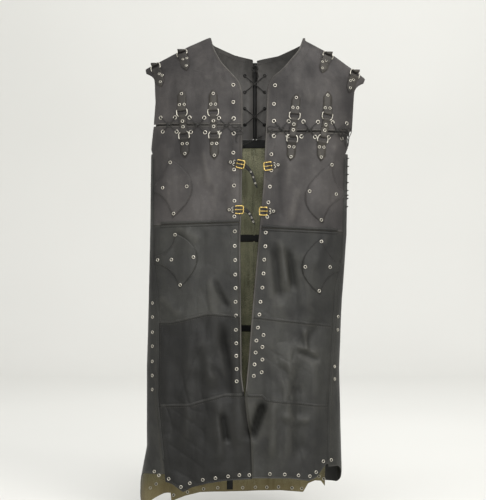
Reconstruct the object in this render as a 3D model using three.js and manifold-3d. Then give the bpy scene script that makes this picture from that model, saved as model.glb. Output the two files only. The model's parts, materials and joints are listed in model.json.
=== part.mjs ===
// A long sleeveless work coat of black leather, laced, strapped and buckled, hanging from its shoulders.
// Millimetres, +Z up, +X towards the wearer's left, the front faces -Y.
// The origin is where a hanger holds the coat: midway between the neck points, level with the right one.
import * as THREE from 'three';
import { mergeVertices } from 'three/addons/utils/BufferGeometryUtils.js';
import Module from 'manifold-3d';

const wasm = await Module();
wasm.setup();

// ---- Driving dimensions ----
const coatWidth = 622; // across the hanging coat
const coatLength = 1302; // highest edge of the shoulders to the longest hem
const leather = 2.4; // thickness of the coat's panels
const patchLeather = 2.2; // thickness of the applied patches
const strapLeather = 2.2; // thickness of tabs, links and billets
const gap = 0.3; // clearance between pieces that touch
const seat = 0.8; // clearance under a flat piece on the curved coat
const shoulderSeat = 2; // the same over the rounded shoulder
const linkClearance = 0.1; // least clearance under a link where the coat bulges
const bodyDepth = 168; // front to back
const yokeDrop = 160; // how far below the shoulder line the coat reaches its full depth
const squareness = 3; // 2 is an oval section, more is boxier
const lacedGap = 5; // open strip that the yoke lacing bridges
const laceDiameter = 2.4;
const eyeletBore = 7.2; // hole that a lace passes
const wire = 3; // D-ring wire
const ringWidth = 29; // D-ring, wire centre to wire centre
const ringHeight = 18;
const strapWidth = 24; // suspender and shoulder tabs
const linkWidth = 18;
const wireClearance = 0.6; // round a wire in its leather loop
const buckleWidth = 23; // across, bar centre to bar centre is less its band
const buckleHeight = 24;
const buckleBand = 3.2;
const buckleThickness = 2.6;
const prongWidth = 2.6;
const billetWidth = 12;
const armholeWidth = 76;
const armholeBottom = -315;
const armholeInset = 12; // leather left over the armhole's top at the shoulder tip
const hemBottom = -1310; // lowest section of the coat's surface, as drawn

const wireRadius = wire / 2;
const loopBore = wireRadius + wireClearance;
const loopRadius = loopBore + strapLeather - 0.2;
const barReach = Math.hypot(buckleBand, buckleThickness) / 2; // middle of a buckle's bar to its corners
const barBore = barReach + 0.4;
const around = 32; // sides of the coat's section

// The outlines below are drawn for a coat of this width and length, and graded to the driving sizes.
const draft = { width: 622, length: 1302 };
const across = coatWidth / draft.width;
const down = coatLength / draft.length;

function graded(line) {
  return line.map(([x, z]) => [x * across, z * down]);
}

function gradedSide(line) {
  return line.map(([z, reach]) => [z * down, reach * across]);
}

function gradedAll(outlines) {
  return Object.fromEntries(Object.entries(outlines).map(([name, line]) => [name, graded(line)]));
}

// Silhouette of the hanging coat: height and distance from the centre line, each side its own hang.
const rightSide = gradedSide([[0, 130], [-25, 187], [-87, 305], [-118, 297], [-180, 287], [-520, 291],
  [-905, 300], [-1117, 300], [-1310, 335]]);
const leftSide = gradedSide([[-8, 130], [-51, 211], [-113, 295], [-149, 277], [-255, 263], [-275, 247],
  [-540, 243], [-716, 230], [-905, 223], [-1310, 232]]);
const shoulderTips = { right: rightSide[2], left: leftSide[2] };
const sections = [0, -12, -28, -51, -87, -113, -149, -190, -255, -275, -340, -430, -520, -620, -716, -810,
  -905, -1010, -1117, -1200, hemBottom].map((height) => height * down);

// Front edges from the neck point to the foot of the front slit, then the centre seam below it.
const rightFrontEdge = graded([[-130, 12], [-118, -35], [-98, -75], [-66, -111], [-52, -125], [-44, -142],
  [-40, -164], [-40, -250], [-42, -450], [-46, -560], [-42, -920]]);
const leftFrontEdge = graded([[130, 12], [112, -39], [67, -95], [38, -118], [30, -133], [26, -149],
  [22, -262], [15, -410], [-2, -606], [-13, -725], [-25, -883]]);
const centreSeam = graded([[-34, -977], [-28, -1038], [-18, -1092], [-15, -1172], [-14, -1330]]);

// Seams across each side, from the side to the front edge, and past both.
const wide = 400;
const beyond = wide * across; // outside the coat on either side
const above = 60; // over the shoulders
const below = -1400 * down; // under the longest hem
const seams = {
  right: gradedAll({
    yoke: [[-wide, -240], [20, -246]],
    waist: [[-wide, -518], [20, -506]],
    hip: [[-wide, -779], [-235, -779], [-134, -755], [-67, -760], [20, -772]],
    knee: [[-wide, -1010], [-182, -999], [-87, -972], [20, -972]],
    hem: [[-wide, -1176], [-297, -1176], [-273, -1200], [-230, -1211], [-200, -1233], [-176, -1220],
      [-136, -1209], [-85, -1201], [20, -1195]],
    side: [[-wide, -321], [-284, -321], [-284, -600], [-269, -725], [-270, -985], [-250, -1180],
      [-235, -1340]],
  }),
  left: gradedAll({
    yoke: [[wide, -258], [-60, -263]],
    waist: [[wide, -540], [-60, -519]],
    hip: [[wide, -811], [-60, -758]],
    knee: [[wide, -1028], [22, -986], [12, -975], [-60, -974]],
    hem: [[wide, -1160], [186, -1160], [157, -1195], [138, -1203], [87, -1195], [-60, -1195]],
    side: [[wide, -321], [238, -321], [233, -600], [212, -690], [206, -800], [195, -985], [188, -1340]],
  }),
};

// Back: neck edge, lower edge of the yokes, the laced slit between them, and the long hem.
const backNeck = graded([[-140, 14], [-120, -18], [-60, -40], [0, -51], [60, -42], [118, -20], [140, 10]]);
const backYokeHem = -273 * down;
const backSlit = { x: -6 * across, width: 10 };
const backHem = graded([[-wide, -1330], [-247, -1290], [-200, -1272], [-160, -1263], [65, -1258], [130, -1262],
  [144, -1237], [163, -1228], [180, -1228], [193, -1245], [206, -1222], [wide, -1222]]);

// Lower edges of the side panels, seen from the side: distance behind the centre, height.
const sideHems = {
  right: [[-130, -1180], [-30, -1190], [20, -1235], [45, -1300], [70, -1262], [130, -1290]],
  left: [[-130, -1165], [-40, -1168], [0, -1198], [40, -1225], [130, -1225]],
};
for (const hem of Object.values(sideHems)) {
  for (const point of hem) point[1] *= down;
}

// Lacing under each yoke: six eyelets above the open strip and six below.
const eyeletsInRow = 6;
const lacing = {
  right: gradedAll({ upper: [[-262, -224], [-64, -229]], lower: [[-256, -262], [-64, -269]] }),
  left: gradedAll({ upper: [[242, -239], [44, -236]], lower: [[229, -279], [44, -276]] }),
};
const backLacing = { reach: 28, top: -92, pitch: 46 * down, rows: 4 };

// Suspenders: the upper tab's point, the two ring bars and the lower tab's point.
const suspenders = gradedAll({
  right_outer: [[-205, -151], [-203, -205], [-196, -282], [-195, -334]],
  right_inner: [[-119, -151], [-119, -205], [-116, -282], [-116, -339]],
  left_inner: [[105, -162], [100, -214], [92, -291], [89, -343]],
  left_outer: [[190, -155], [188, -214], [173, -291], [171, -343]],
});
const tabPoint = 15; // length of a tab's pointed end

// Shoulder tabs: ring bar, then the tab's point.
const shoulderTabs = gradedAll({
  right_outer: [[-274, -90], [-262, -140]],
  right_inner: [[-203, -52], [-192, -98]],
  left_inner: [[190, -58], [175, -104]],
  left_outer: [[263, -108], [250, -156]],
});

// Buckles on the front edges: hinge bar, tilt in degrees, and the side that the frame points to.
const buckles = {
  right_upper: { bar: [-55, -350], tilt: -12, towards: 1 },
  right_lower: { bar: [-58, -474], tilt: 0, towards: 1 },
  left_upper: { bar: [37, -356], tilt: 8, towards: -1 },
  left_lower: { bar: [25, -478], tilt: 0, towards: -1 },
};
for (const buckle of Object.values(buckles)) [buckle.bar] = graded([buckle.bar]);
const buckleTabLength = 24;
const buckleTabWidth = 15;
// Billets that hang from the right buckles, as offsets from the buckle's far bar.
const billets = {
  upper: [[-4, 1], [4, -4], [13, -12], [22, -26], [28, -46], [35, -62]],
  lower: [[-4, 0], [5, -1], [13, -6], [20, -17], [26, -30], [30, -40]],
};

// Leaf patches: top tip, belly, bottom tip, the hollow under the stem, the stem's end, the hollow over it.
const patches = gradedAll({
  right_upper: [[-238, -334], [-175, -411], [-230, -496], [-243, -438], [-280, -428], [-280, -407],
    [-247, -375]],
  right_lower: [[-224, -535], [-161, -600], [-211, -686], [-222, -632], [-280, -618], [-280, -598],
    [-224, -588]],
  left_upper: [[206, -344], [128, -433], [177, -510], [190, -455], [234, -441], [234, -421], [199, -400]],
  left_lower: [[172, -550], [118, -627], [170, -702], [180, -650], [226, -638], [226, -618], [188, -603]],
});

// ---- Materials ----
const black = { color: 0x4b4947, roughness: 0.62, metalness: 0 };
const darker = { color: 0x3a3937, roughness: 0.66, metalness: 0 };
const strap = { color: 0x45433f, roughness: 0.6, metalness: 0 };
const lace = { color: 0x2b2a28, roughness: 0.8, metalness: 0 };
const steel = { color: 0xc4c2bb, roughness: 0.3, metalness: 1 };
const brass = { color: 0xc2a95e, roughness: 0.32, metalness: 1 };

// ---- Solids ----
function solid(geometry) {
  const bare = geometry.clone();
  bare.deleteAttribute('normal');
  bare.deleteAttribute('uv');
  const merged = mergeVertices(bare, 1e-3);
  const triVerts = new Uint32Array(merged.index.array);
  return new wasm.Manifold(
    new wasm.Mesh({ numProp: 3, vertProperties: merged.attributes.position.array, triVerts }),
  );
}

function named(name, body, look) {
  const made = body.getMesh();
  const geometry = new THREE.BufferGeometry();
  geometry.setAttribute('position', new THREE.BufferAttribute(made.vertProperties, 3));
  geometry.setIndex(new THREE.BufferAttribute(made.triVerts, 1));
  geometry.computeVertexNormals();
  const mesh = new THREE.Mesh(geometry, new THREE.MeshStandardMaterial(look));
  mesh.name = name;
  return mesh;
}

function shapeOf(points) {
  return new THREE.Shape(points.map(([x, y]) => new THREE.Vector2(x, y)));
}

// A prism of an outline drawn in front view, from one depth to another.
function prism(shape, nearest, furthest, curveSegments = 6) {
  const depth = furthest - nearest;
  const geometry = new THREE.ExtrudeGeometry(shape, { depth, bevelEnabled: false, curveSegments });
  geometry.rotateX(Math.PI / 2);
  geometry.translate(0, furthest, 0);
  return solid(geometry);
}

// A prism of an outline drawn in side view (depth, height), right across the coat between two x.
function sidePrism(shape, from, to) {
  const options = { depth: to - from, bevelEnabled: false, curveSegments: 10 };
  const geometry = new THREE.ExtrudeGeometry(shape, options);
  geometry.applyMatrix4(new THREE.Matrix4().set(0, 0, 1, from, 1, 0, 0, 0, 0, 1, 0, 0, 0, 0, 0, 1));
  return solid(geometry);
}

// ---- The coat's surface ----
function along(list, height) {
  if (height >= list[0][0]) return list[0][1];
  const next = list.findIndex(([z]) => z <= height);
  if (next < 0) return list[list.length - 1][1];
  const [z0, x0] = list[next - 1];
  const [z1, x1] = list[next];
  return THREE.MathUtils.mapLinear(height, z0, z1, x0, x1);
}

// Height of the shoulder line over a place beside the centre line.
function shoulderHeight(x) {
  const list = x < 0 ? rightSide : leftSide;
  const reach = Math.abs(x);
  const [tipHeight, tipReach] = list[2];
  if (reach >= tipReach) return tipHeight;
  const next = list.findIndex(([, edge]) => edge >= reach);
  if (next <= 0) return list[0][0] + (list[0][1] - reach) * 0.35;
  const [z0, x0] = list[next - 1];
  const [z1, x1] = list[next];
  return THREE.MathUtils.mapLinear(reach, x0, x1, z0, z1);
}

function sectionPoint(angle, height) {
  const right = -along(rightSide, height);
  const left = along(leftSide, height);
  const power = 2 / squareness;
  const across = Math.sign(Math.cos(angle)) * Math.abs(Math.cos(angle)) ** power;
  const deep = Math.sign(Math.sin(angle)) * Math.abs(Math.sin(angle)) ** power;
  const x = (left + right) / 2 + ((left - right) / 2) * across;
  const drop = THREE.MathUtils.clamp((shoulderHeight(x) - height) / yokeDrop, 0.02, 1);
  const crown = 1 - (1 - drop) ** 2;
  return new THREE.Vector3(x, (bodyDepth / 2) * deep * crown, height);
}

function surfacePoint(angle, height, offset) {
  const turn = 0.03;
  const rise = 12;
  const aside = sectionPoint(angle + turn, height).sub(sectionPoint(angle - turn, height));
  const upward = sectionPoint(angle, height + rise).sub(sectionPoint(angle, height - rise));
  const outward = aside.cross(upward).normalize();
  return sectionPoint(angle, height).addScaledVector(outward, offset);
}

// The closed wall between two offsets of the surface: a lathe ring whose points are moved to the sections.
// The faces at the first offset of one wall and at the first offset of another are folded alike.
function wall(first, second) {
  const profile = [];
  for (const height of sections) profile.push([height, first]);
  for (const height of [...sections].reverse()) profile.push([height, second]);
  profile.push(profile[0]);
  const placeholder = profile.map(([height], i) => new THREE.Vector2(100 + i, height));
  const geometry = new THREE.LatheGeometry(placeholder, around);
  const position = geometry.attributes.position;
  for (let i = 0; i < position.count; i += 1) {
    const [height, offset] = profile[i % profile.length];
    const side = Math.floor(i / profile.length) % around;
    const point = surfacePoint((side / around) * 2 * Math.PI, height, offset);
    position.setXYZ(i, point.x, point.y, point.z);
  }
  const made = solid(geometry);
  if (made.volume() > 0) return made;
  const index = geometry.index.array;
  for (let i = 0; i < index.length; i += 3) [index[i + 1], index[i + 2]] = [index[i + 2], index[i + 1]];
  return solid(geometry);
}

const panelWall = wall(leather, 0);
const patchWall = wall(leather + gap, leather + gap + patchLeather);
const outside = named('outside', panelWall, black);
outside.material.side = THREE.DoubleSide;

// The place on the coat's outer face straight behind (or in front of) a point of the front view.
function seatAt([x, z], fromBack = false) {
  const start = new THREE.Vector3(x, fromBack ? 900 : -900, z);
  const ray = new THREE.Raycaster(start, new THREE.Vector3(0, fromBack ? -1 : 1, 0));
  const [hit] = ray.intersectObject(outside);
  const normal = hit.face.normal.clone();
  if (normal.y * ray.ray.direction.y > 0) normal.negate();
  return { point: hit.point, normal };
}

// Axes for a flat piece on the coat: x to the right, y up the piece, z away from the coat.
function frameOn(upperPlace, lowerPlace, lift) {
  const upper = seatAt(upperPlace);
  const lower = seatAt(lowerPlace);
  const up = upper.point.clone().sub(lower.point).normalize();
  const out = upper.normal.clone().add(lower.normal);
  out.addScaledVector(up, -out.dot(up)).normalize();
  const right = up.clone().cross(out);
  const origin = upper.point.clone().addScaledVector(out, lift);
  return new THREE.Matrix4().makeBasis(right, up, out).setPosition(origin);
}

function placed(mesh, ...matrices) {
  for (const matrix of matrices) mesh.applyMatrix4(matrix);
  return mesh;
}

// ---- Panels ----
// The region of the front view between two lines, through the whole depth.
function between(first, second) {
  return prism(shapeOf([...first, ...[...second].reverse()]), -300, 300);
}

function shifted(line, dx, dz) {
  return line.map(([x, z]) => [x + dx, z + dz]);
}

const everything = shapeOf([[-beyond, above], [beyond, above], [beyond, below], [-beyond, below]]);
const frontHalf = prism(everything, -300, -gap / 2);
const backHalf = prism(everything, gap / 2, 300);

function armhole(side) {
  const [tipHeight] = shoulderTips[side];
  const top = tipHeight - armholeInset;
  const bottom = armholeBottom * down;
  const nearest = 160 * across;
  const shape = new THREE.Shape();
  shape.absellipse(0, (top + bottom) / 2, armholeWidth / 2, (top - bottom) / 2, 0, 2 * Math.PI);
  return side === 'right' ? sidePrism(shape, -beyond, -nearest) : sidePrism(shape, nearest, beyond);
}
const armholes = { right: armhole('right'), left: armhole('left') };

function eyeletRow([outer, inner]) {
  const places = [];
  for (let i = 0; i < eyeletsInRow; i += 1) {
    const share = i / (eyeletsInRow - 1);
    places.push([
      THREE.MathUtils.lerp(outer[0], inner[0], share),
      THREE.MathUtils.lerp(outer[1], inner[1], share),
    ]);
  }
  return places;
}

// A short drill across the leather, square to its surface.
function drill(place, fromBack = false) {
  const { point, normal } = seatAt(place, fromBack);
  const geometry = new THREE.CylinderGeometry(eyeletBore / 2, eyeletBore / 2, 24, 8);
  const turn = new THREE.Quaternion().setFromUnitVectors(new THREE.Vector3(0, 1, 0), normal);
  geometry.applyQuaternion(turn);
  geometry.translate(point.x, point.y, point.z);
  return solid(geometry);
}

function cutAll(body, cutters) {
  return cutters.reduce((left, cutter) => left.subtract(cutter), body);
}

function sideLines(side) {
  const sign = side === 'right' ? -1 : 1;
  const slitEdge = side === 'right' ? rightFrontEdge : leftFrontEdge;
  return {
    sign,
    front: [...slitEdge, ...shifted(centreSeam, (sign * gap) / 2, 0)],
    outer: [[sign * beyond, above], [sign * beyond, below]],
  };
}

function frontPanels(side) {
  const { sign, front, outer } = sideLines(side);
  const lines = seams[side];
  const half = gap / 2;
  const coatFront = panelWall.intersect(frontHalf).subtract(armholes[side]);
  const yokeArea = coatFront.intersect(between(outer, front));
  const bodyArea = coatFront.intersect(
    between([[sign * beyond, above], ...shifted(lines.side, -sign * half, 0)], front),
  );
  const upperRow = eyeletRow(lacing[side].upper).map((place) => drill(place));
  const lowerRow = eyeletRow(lacing[side].lower).map((place) => drill(place));
  const top = [[sign * beyond, above], [-sign * 60, above]];
  const yoke = cutAll(yokeArea.intersect(between(top, lines.yoke)), upperRow);
  const chestTop = shifted(lines.yoke, 0, -lacedGap);
  const chest = cutAll(bodyArea.intersect(between(chestTop, shifted(lines.waist, 0, half))), lowerRow);
  const panel = (upper, lower) => {
    return bodyArea.intersect(between(shifted(upper, 0, -half), shifted(lower, 0, half)));
  };
  const tabs = ['upper', 'lower'].map((level) => buckleTab(buckles[`${side}_${level}`]));
  return [
    named(`${side}_front_yoke`, yoke, black),
    named(`${side}_chest_panel`, chest.add(tabs[0]).add(tabs[1]), black),
    named(`${side}_hip_panel`, panel(lines.waist, lines.hip), darker),
    named(`${side}_skirt_panel`, panel(lines.hip, lines.knee), darker),
    named(`${side}_hem_panel`, panel(lines.knee, lines.hem), darker),
  ];
}

function sidePanel(side) {
  const { sign } = sideLines(side);
  const half = gap / 2;
  const outline = shifted(seams[side].side, sign * half, -half);
  const outermost = sign * (beyond + 20);
  const strip = panelWall.intersect(between([[outermost, outline[0][1]], [outermost, below]], outline));
  const hem = shapeOf([[-130, above], ...sideHems[side], [130, above]]);
  return named(`${side}_side_panel`, strip.intersect(sidePrism(hem, -beyond, beyond)), darker);
}

function backPanels() {
  const back = cutAll(panelWall.intersect(backHalf), Object.values(armholes));
  const [neckStart] = backNeck;
  const neckEnd = backNeck[backNeck.length - 1];
  const neckCut = prism(shapeOf([...backNeck, [neckEnd[0], above], [neckStart[0], above]]), -300, 300);
  const drills = backLaceColumns().flat().map((place) => drill(place, true));
  const yoke = (side) => {
    const { sign } = sideLines(side);
    const inner = backSlit.x + (sign * backSlit.width) / 2;
    const outerEdge = [[sign * beyond, above], [sign * beyond, backYokeHem]];
    const slitEdge = [[inner, above], [inner, backYokeHem]];
    return cutAll(back.intersect(between(outerEdge, slitEdge)).subtract(neckCut), drills);
  };
  const rightSeam = [[-beyond, above], ...shifted(seams.right.side, gap / 2, 0)];
  const leftSeam = [[beyond, above], ...shifted(seams.left.side, -gap / 2, 0)];
  const start = backYokeHem - gap;
  const bodyBand = between([[-beyond, start], [beyond, start]], backHem);
  const body = back.intersect(between(rightSeam, leftSeam)).intersect(bodyBand);
  return [
    named('right_back_yoke', yoke('right'), black),
    named('left_back_yoke', yoke('left'), black),
    named('back_body', body, darker),
  ];
}

// ---- Patches ----
function patch(name, [top, belly, bottom, lowerHollow, stemFoot, stemTop, upperHollow]) {
  const pull = [0, 1].map((axis) => 2 * belly[axis] - (top[axis] + bottom[axis]) / 2);
  const shape = new THREE.Shape();
  shape.moveTo(...top);
  shape.quadraticCurveTo(...pull, ...bottom);
  shape.quadraticCurveTo(...lowerHollow, ...stemFoot);
  shape.lineTo(...stemTop);
  shape.quadraticCurveTo(...upperHollow, ...top);
  return named(name, patchWall.intersect(prism(shape, -300, 0, 7)), strap);
}

// ---- Rings, tabs and links ----
// A D-ring in its own plane: bar on the x axis, the D below it.
function dRing(name) {
  const halfWidth = ringWidth / 2;
  const shoulder = 2.5;
  const foot = 9;
  const outline = new THREE.Shape();
  outline.moveTo(-halfWidth + shoulder, 0);
  outline.lineTo(halfWidth - shoulder, 0);
  outline.quadraticCurveTo(halfWidth, 0, halfWidth, -shoulder);
  outline.lineTo(halfWidth, foot - ringHeight);
  outline.absarc(halfWidth - foot, foot - ringHeight, foot, 0, -Math.PI / 2, true);
  outline.lineTo(foot - halfWidth, -ringHeight);
  outline.absarc(foot - halfWidth, foot - ringHeight, foot, -Math.PI / 2, -Math.PI, true);
  outline.lineTo(-halfWidth, -shoulder);
  outline.quadraticCurveTo(-halfWidth, 0, -halfWidth + shoulder, 0);
  const segments = 20;
  const path = outline.getSpacedPoints(segments);
  const geometry = new THREE.TorusGeometry(ringWidth, wireRadius, 6, segments);
  const position = geometry.attributes.position;
  for (let i = 0; i < position.count; i += 1) {
    const step = i % (segments + 1) % segments;
    const before = path[(step + segments - 1) % segments];
    const after = path[(step + 1) % segments];
    const outward = new THREE.Vector2(before.y - after.y, after.x - before.x).normalize();
    const rho = Math.hypot(position.getX(i), position.getY(i)) - ringWidth;
    const place = path[step].clone().addScaledVector(outward, rho);
    position.setXY(i, place.x, place.y);
  }
  const made = solid(geometry);
  if (made.volume() > 0) return named(name, made, steel);
  const index = geometry.index.array;
  for (let i = 0; i < index.length; i += 3) [index[i + 1], index[i + 2]] = [index[i + 2], index[i + 1]];
  return named(name, solid(geometry), steel);
}

// A section drawn in (up, out), extruded across by a width.
function acrossStrap(shape, width) {
  const geometry = new THREE.ExtrudeGeometry(shape, { depth: width, bevelEnabled: false, curveSegments: 5 });
  geometry.applyMatrix4(new THREE.Matrix4().set(0, 0, 1, -width / 2, 1, 0, 0, 0, 0, 1, 0, 0, 0, 0, 0, 1));
  return solid(geometry);
}

// A pointed tab: leather that follows the coat, folded round a ring's bar at its root.
function tab(name, bar, point, frame) {
  const root = new THREE.Vector2(...bar);
  const ahead = new THREE.Vector2(...point).sub(root);
  const length = ahead.length();
  ahead.normalize();
  const aside = new THREE.Vector2(-ahead.y, ahead.x);
  const corner = (across, down) => {
    const place = root.clone().addScaledVector(aside, across).addScaledVector(ahead, down);
    return [place.x, place.y];
  };
  const half = strapWidth / 2;
  const shoulder = length - tabPoint;
  const outline = [[-half, -1], [half, -1], [half, shoulder], [0, length], [-half, shoulder]];
  const plate = patchWall.intersect(prism(shapeOf(outline.map(([x, y]) => corner(x, y))), -300, 0));
  const eye = new THREE.Shape().absarc(0, 0, loopRadius, 0, 2 * Math.PI);
  eye.holes.push(new THREE.Path().absarc(0, 0, loopBore, 0, 2 * Math.PI));
  return named(name, plate.add(acrossStrap(eye, strapWidth).transform(frame.elements)), strap);
}

// A link strap: a loop at each end round the foot of a ring, and flat leather between.
function linkBody(reach) {
  const slack = 3.7;
  const bite = wireRadius + wireClearance;
  const high = slack;
  const low = -(wireRadius + gap);
  const half = (high - low) / 2;
  let body = null;
  for (const end of [-1, 1]) {
    const middle = end * (reach / 2 + (high + low) / 2);
    const outer = half + strapLeather;
    const loop = new THREE.Shape();
    loop.moveTo(middle - outer + 3, -loopRadius);
    loop.lineTo(middle + outer - 3, -loopRadius);
    loop.quadraticCurveTo(middle + outer, -loopRadius, middle + outer, 0);
    loop.quadraticCurveTo(middle + outer, loopRadius, middle + outer - 3, loopRadius);
    loop.lineTo(middle - outer + 3, loopRadius);
    loop.quadraticCurveTo(middle - outer, loopRadius, middle - outer, 0);
    loop.quadraticCurveTo(middle - outer, -loopRadius, middle - outer + 3, -loopRadius);
    const [start, stop] = [middle - half, middle + half];
    loop.holes.push(shapeOf([[start, -bite], [stop, -bite], [stop, bite], [start, bite]]));
    const made = acrossStrap(loop, linkWidth);
    body = body ? body.add(made) : made;
  }
  const inner = reach / 2 + low - 1;
  const plate = shapeOf([[-inner, -1.1], [inner, -1.1], [inner, 1.1], [-inner, 1.1]]);
  return body.add(acrossStrap(plate, linkWidth));
}

// How far the coat stands out over a frame's plane, under the loops of a link.
function bulgeUnder(frame, distances) {
  const toFrame = frame.clone().invert();
  const heights = [];
  for (const aside of [-linkWidth / 2, 0, linkWidth / 2]) {
    for (const distance of distances) {
      const place = new THREE.Vector3(aside, -distance, 0).applyMatrix4(frame);
      heights.push(seatAt([place.x, place.z]).point.applyMatrix4(toFrame).z);
    }
  }
  return Math.max(...heights);
}

function suspender(name, [upperPoint, upperBar, lowerBar, lowerPoint]) {
  const span = seatAt(upperBar).point.distanceTo(seatAt(lowerBar).point);
  const bulge = bulgeUnder(frameOn(upperBar, lowerBar, 0), [ringHeight, span - ringHeight]);
  const upperFrame = frameOn(upperBar, lowerBar, Math.max(seat, bulge + linkClearance) + loopRadius);
  const halfTurn = new THREE.Matrix4().makeRotationZ(Math.PI);
  const toLowerBar = new THREE.Matrix4().makeTranslation(0, -span, 0);
  const lowerFrame = upperFrame.clone().multiply(toLowerBar).multiply(halfTurn);
  const middle = new THREE.Matrix4().makeTranslation(0, -span / 2, 0);
  return [
    tab(`${name}_upper_tab`, upperBar, upperPoint, upperFrame),
    placed(dRing(`${name}_upper_ring`), upperFrame),
    placed(named(`${name}_link`, linkBody(span - 2 * ringHeight), strap), middle, upperFrame),
    placed(dRing(`${name}_lower_ring`), lowerFrame),
    tab(`${name}_lower_tab`, lowerBar, lowerPoint, lowerFrame),
  ];
}

function shoulderTab(name, [bar, point]) {
  const frame = frameOn(bar, point, shoulderSeat + loopRadius);
  frame.multiply(new THREE.Matrix4().makeRotationZ(Math.PI));
  return [
    tab(`${name}_shoulder_tab`, bar, point, frame),
    placed(dRing(`${name}_shoulder_ring`), frame),
  ];
}

// ---- Buckles ----
// Axes at a buckle's hinge bar: x towards the far bar, y up the bar, z away from the coat.
function buckleFrame({ bar, tilt, towards }) {
  const upper = [bar[0], bar[1] + 12];
  const lower = [bar[0], bar[1] - 12];
  const lift = seat + loopRadius;
  const frame = frameOn(upper, lower, lift);
  const toBar = new THREE.Matrix4().makeTranslation(0, -12, 0);
  const turn = new THREE.Matrix4().makeRotationZ(THREE.MathUtils.degToRad(tilt));
  frame.multiply(toBar).multiply(turn);
  if (towards < 0) frame.multiply(new THREE.Matrix4().makeRotationZ(Math.PI));
  return frame;
}

// The riveted tab that holds the bar, its foot sewn into the panel.
function buckleTab(buckle) {
  const foot = -loopRadius - seat - leather / 2;
  const face = -loopRadius + strapLeather;
  const section = new THREE.Shape();
  section.moveTo(buckleTabLength, foot);
  section.lineTo(4, foot);
  section.lineTo(4, -loopRadius);
  section.lineTo(0, -loopRadius);
  section.absarc(0, 0, loopRadius, -Math.PI / 2, Math.asin(face / loopRadius), true);
  section.lineTo(buckleTabLength, face);
  section.lineTo(buckleTabLength, foot);
  section.holes.push(new THREE.Path().absarc(0, 0, barBore, 0, 2 * Math.PI));
  const notch = new THREE.BoxGeometry(prongWidth + 2, 2 * loopRadius + 2, 4 * loopRadius);
  const body = acrossStrap(section, buckleTabWidth).subtract(solid(notch));
  const turn = new THREE.Matrix4().makeRotationZ(Math.PI / 2);
  return body.transform(buckleFrame(buckle).multiply(turn).elements);
}

function buckle(name, place) {
  const half = buckleHeight / 2;
  const nearSide = -buckleBand / 2;
  const farSide = buckleWidth - buckleBand / 2;
  const round = 3.5;
  const outline = new THREE.Shape();
  outline.moveTo(nearSide, half - 1);
  outline.lineTo(nearSide + 1, half);
  outline.lineTo(farSide - round, half);
  outline.quadraticCurveTo(farSide, half, farSide, half - round);
  outline.lineTo(farSide, round - half);
  outline.quadraticCurveTo(farSide, -half, farSide - round, -half);
  outline.lineTo(nearSide + 1, -half);
  outline.lineTo(nearSide, 1 - half);
  const left = nearSide + buckleBand;
  const right = farSide - buckleBand;
  const reach = half - buckleBand;
  const hole = shapeOf([[left, -reach], [right, -reach], [right, reach], [left, reach]]);
  outline.holes.push(hole);
  const shape = { depth: buckleThickness, bevelEnabled: false, curveSegments: 3 };
  const frame = new THREE.ExtrudeGeometry(outline, shape).translate(0, 0, -buckleThickness / 2);
  return [
    placed(named(`${name}_buckle`, solid(frame), brass), buckleFrame(place)),
    placed(named(`${name}_prong`, prongBody(), brass), buckleFrame(place)),
  ];
}

// A prong: an eye round the bar and a tongue that rests on the far bar.
function prongBody() {
  const eye = barBore + 1.2;
  const rest = buckleThickness / 2 + gap;
  const tip = buckleWidth - buckleBand / 2 + 1;
  const section = new THREE.Shape();
  section.moveTo(Math.sqrt(eye ** 2 - rest ** 2), rest);
  section.lineTo(tip, rest);
  section.lineTo(tip - 1, rest + 1.6);
  section.lineTo(Math.sqrt(eye ** 2 - (rest + 1.6) ** 2), rest + 1.6);
  section.absarc(0, 0, eye, Math.asin((rest + 1.6) / eye), Math.asin(rest / eye) + 2 * Math.PI, false);
  section.holes.push(new THREE.Path().absarc(0, 0, barBore, 0, 2 * Math.PI));
  const shape = { depth: prongWidth, bevelEnabled: false, curveSegments: 8 };
  const geometry = new THREE.ExtrudeGeometry(section, shape);
  geometry.rotateX(Math.PI / 2);
  geometry.translate(0, prongWidth / 2, 0);
  return solid(geometry);
}

// A billet: a narrow strap that leaves the buckle behind its far bar and hangs in a curve.
function billet(name, place, route) {
  const middle = buckleWidth - buckleBand;
  const behind = -(barReach + 0.1 + strapLeather); // clear of the bar's corners as the billet swings
  const curve = new THREE.SplineCurve(route.map(([x, y]) => new THREE.Vector2(x, y)));
  const steps = 12;
  const edges = { near: [], far: [] };
  for (let i = 0; i <= steps; i += 1) {
    const point = curve.getPoint(i / steps);
    const heading = curve.getTangent(i / steps);
    const half = i === steps ? billetWidth / 6 : billetWidth / 2;
    edges.near.push([point.x - heading.y * half, point.y + heading.x * half]);
    edges.far.unshift([point.x + heading.y * half, point.y - heading.x * half]);
  }
  const outline = shapeOf([...edges.near, ...edges.far]);
  const geometry = new THREE.ExtrudeGeometry(outline, { depth: strapLeather, bevelEnabled: false });
  const untilt = new THREE.Matrix4().makeRotationZ(THREE.MathUtils.degToRad(-place.tilt));
  geometry.translate(0, 0, behind).applyMatrix4(untilt);
  const atBar = new THREE.Matrix4().makeTranslation(middle, 0, 0);
  return placed(named(name, solid(geometry), strap), atBar, buckleFrame(place));
}

// ---- Laces ----
// A smooth curve whose steps follow its chosen points, closer together where they are.
class LaceRoute extends THREE.CatmullRomCurve3 {
  getUtoTmapping(u) {
    return u;
  }
}

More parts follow.
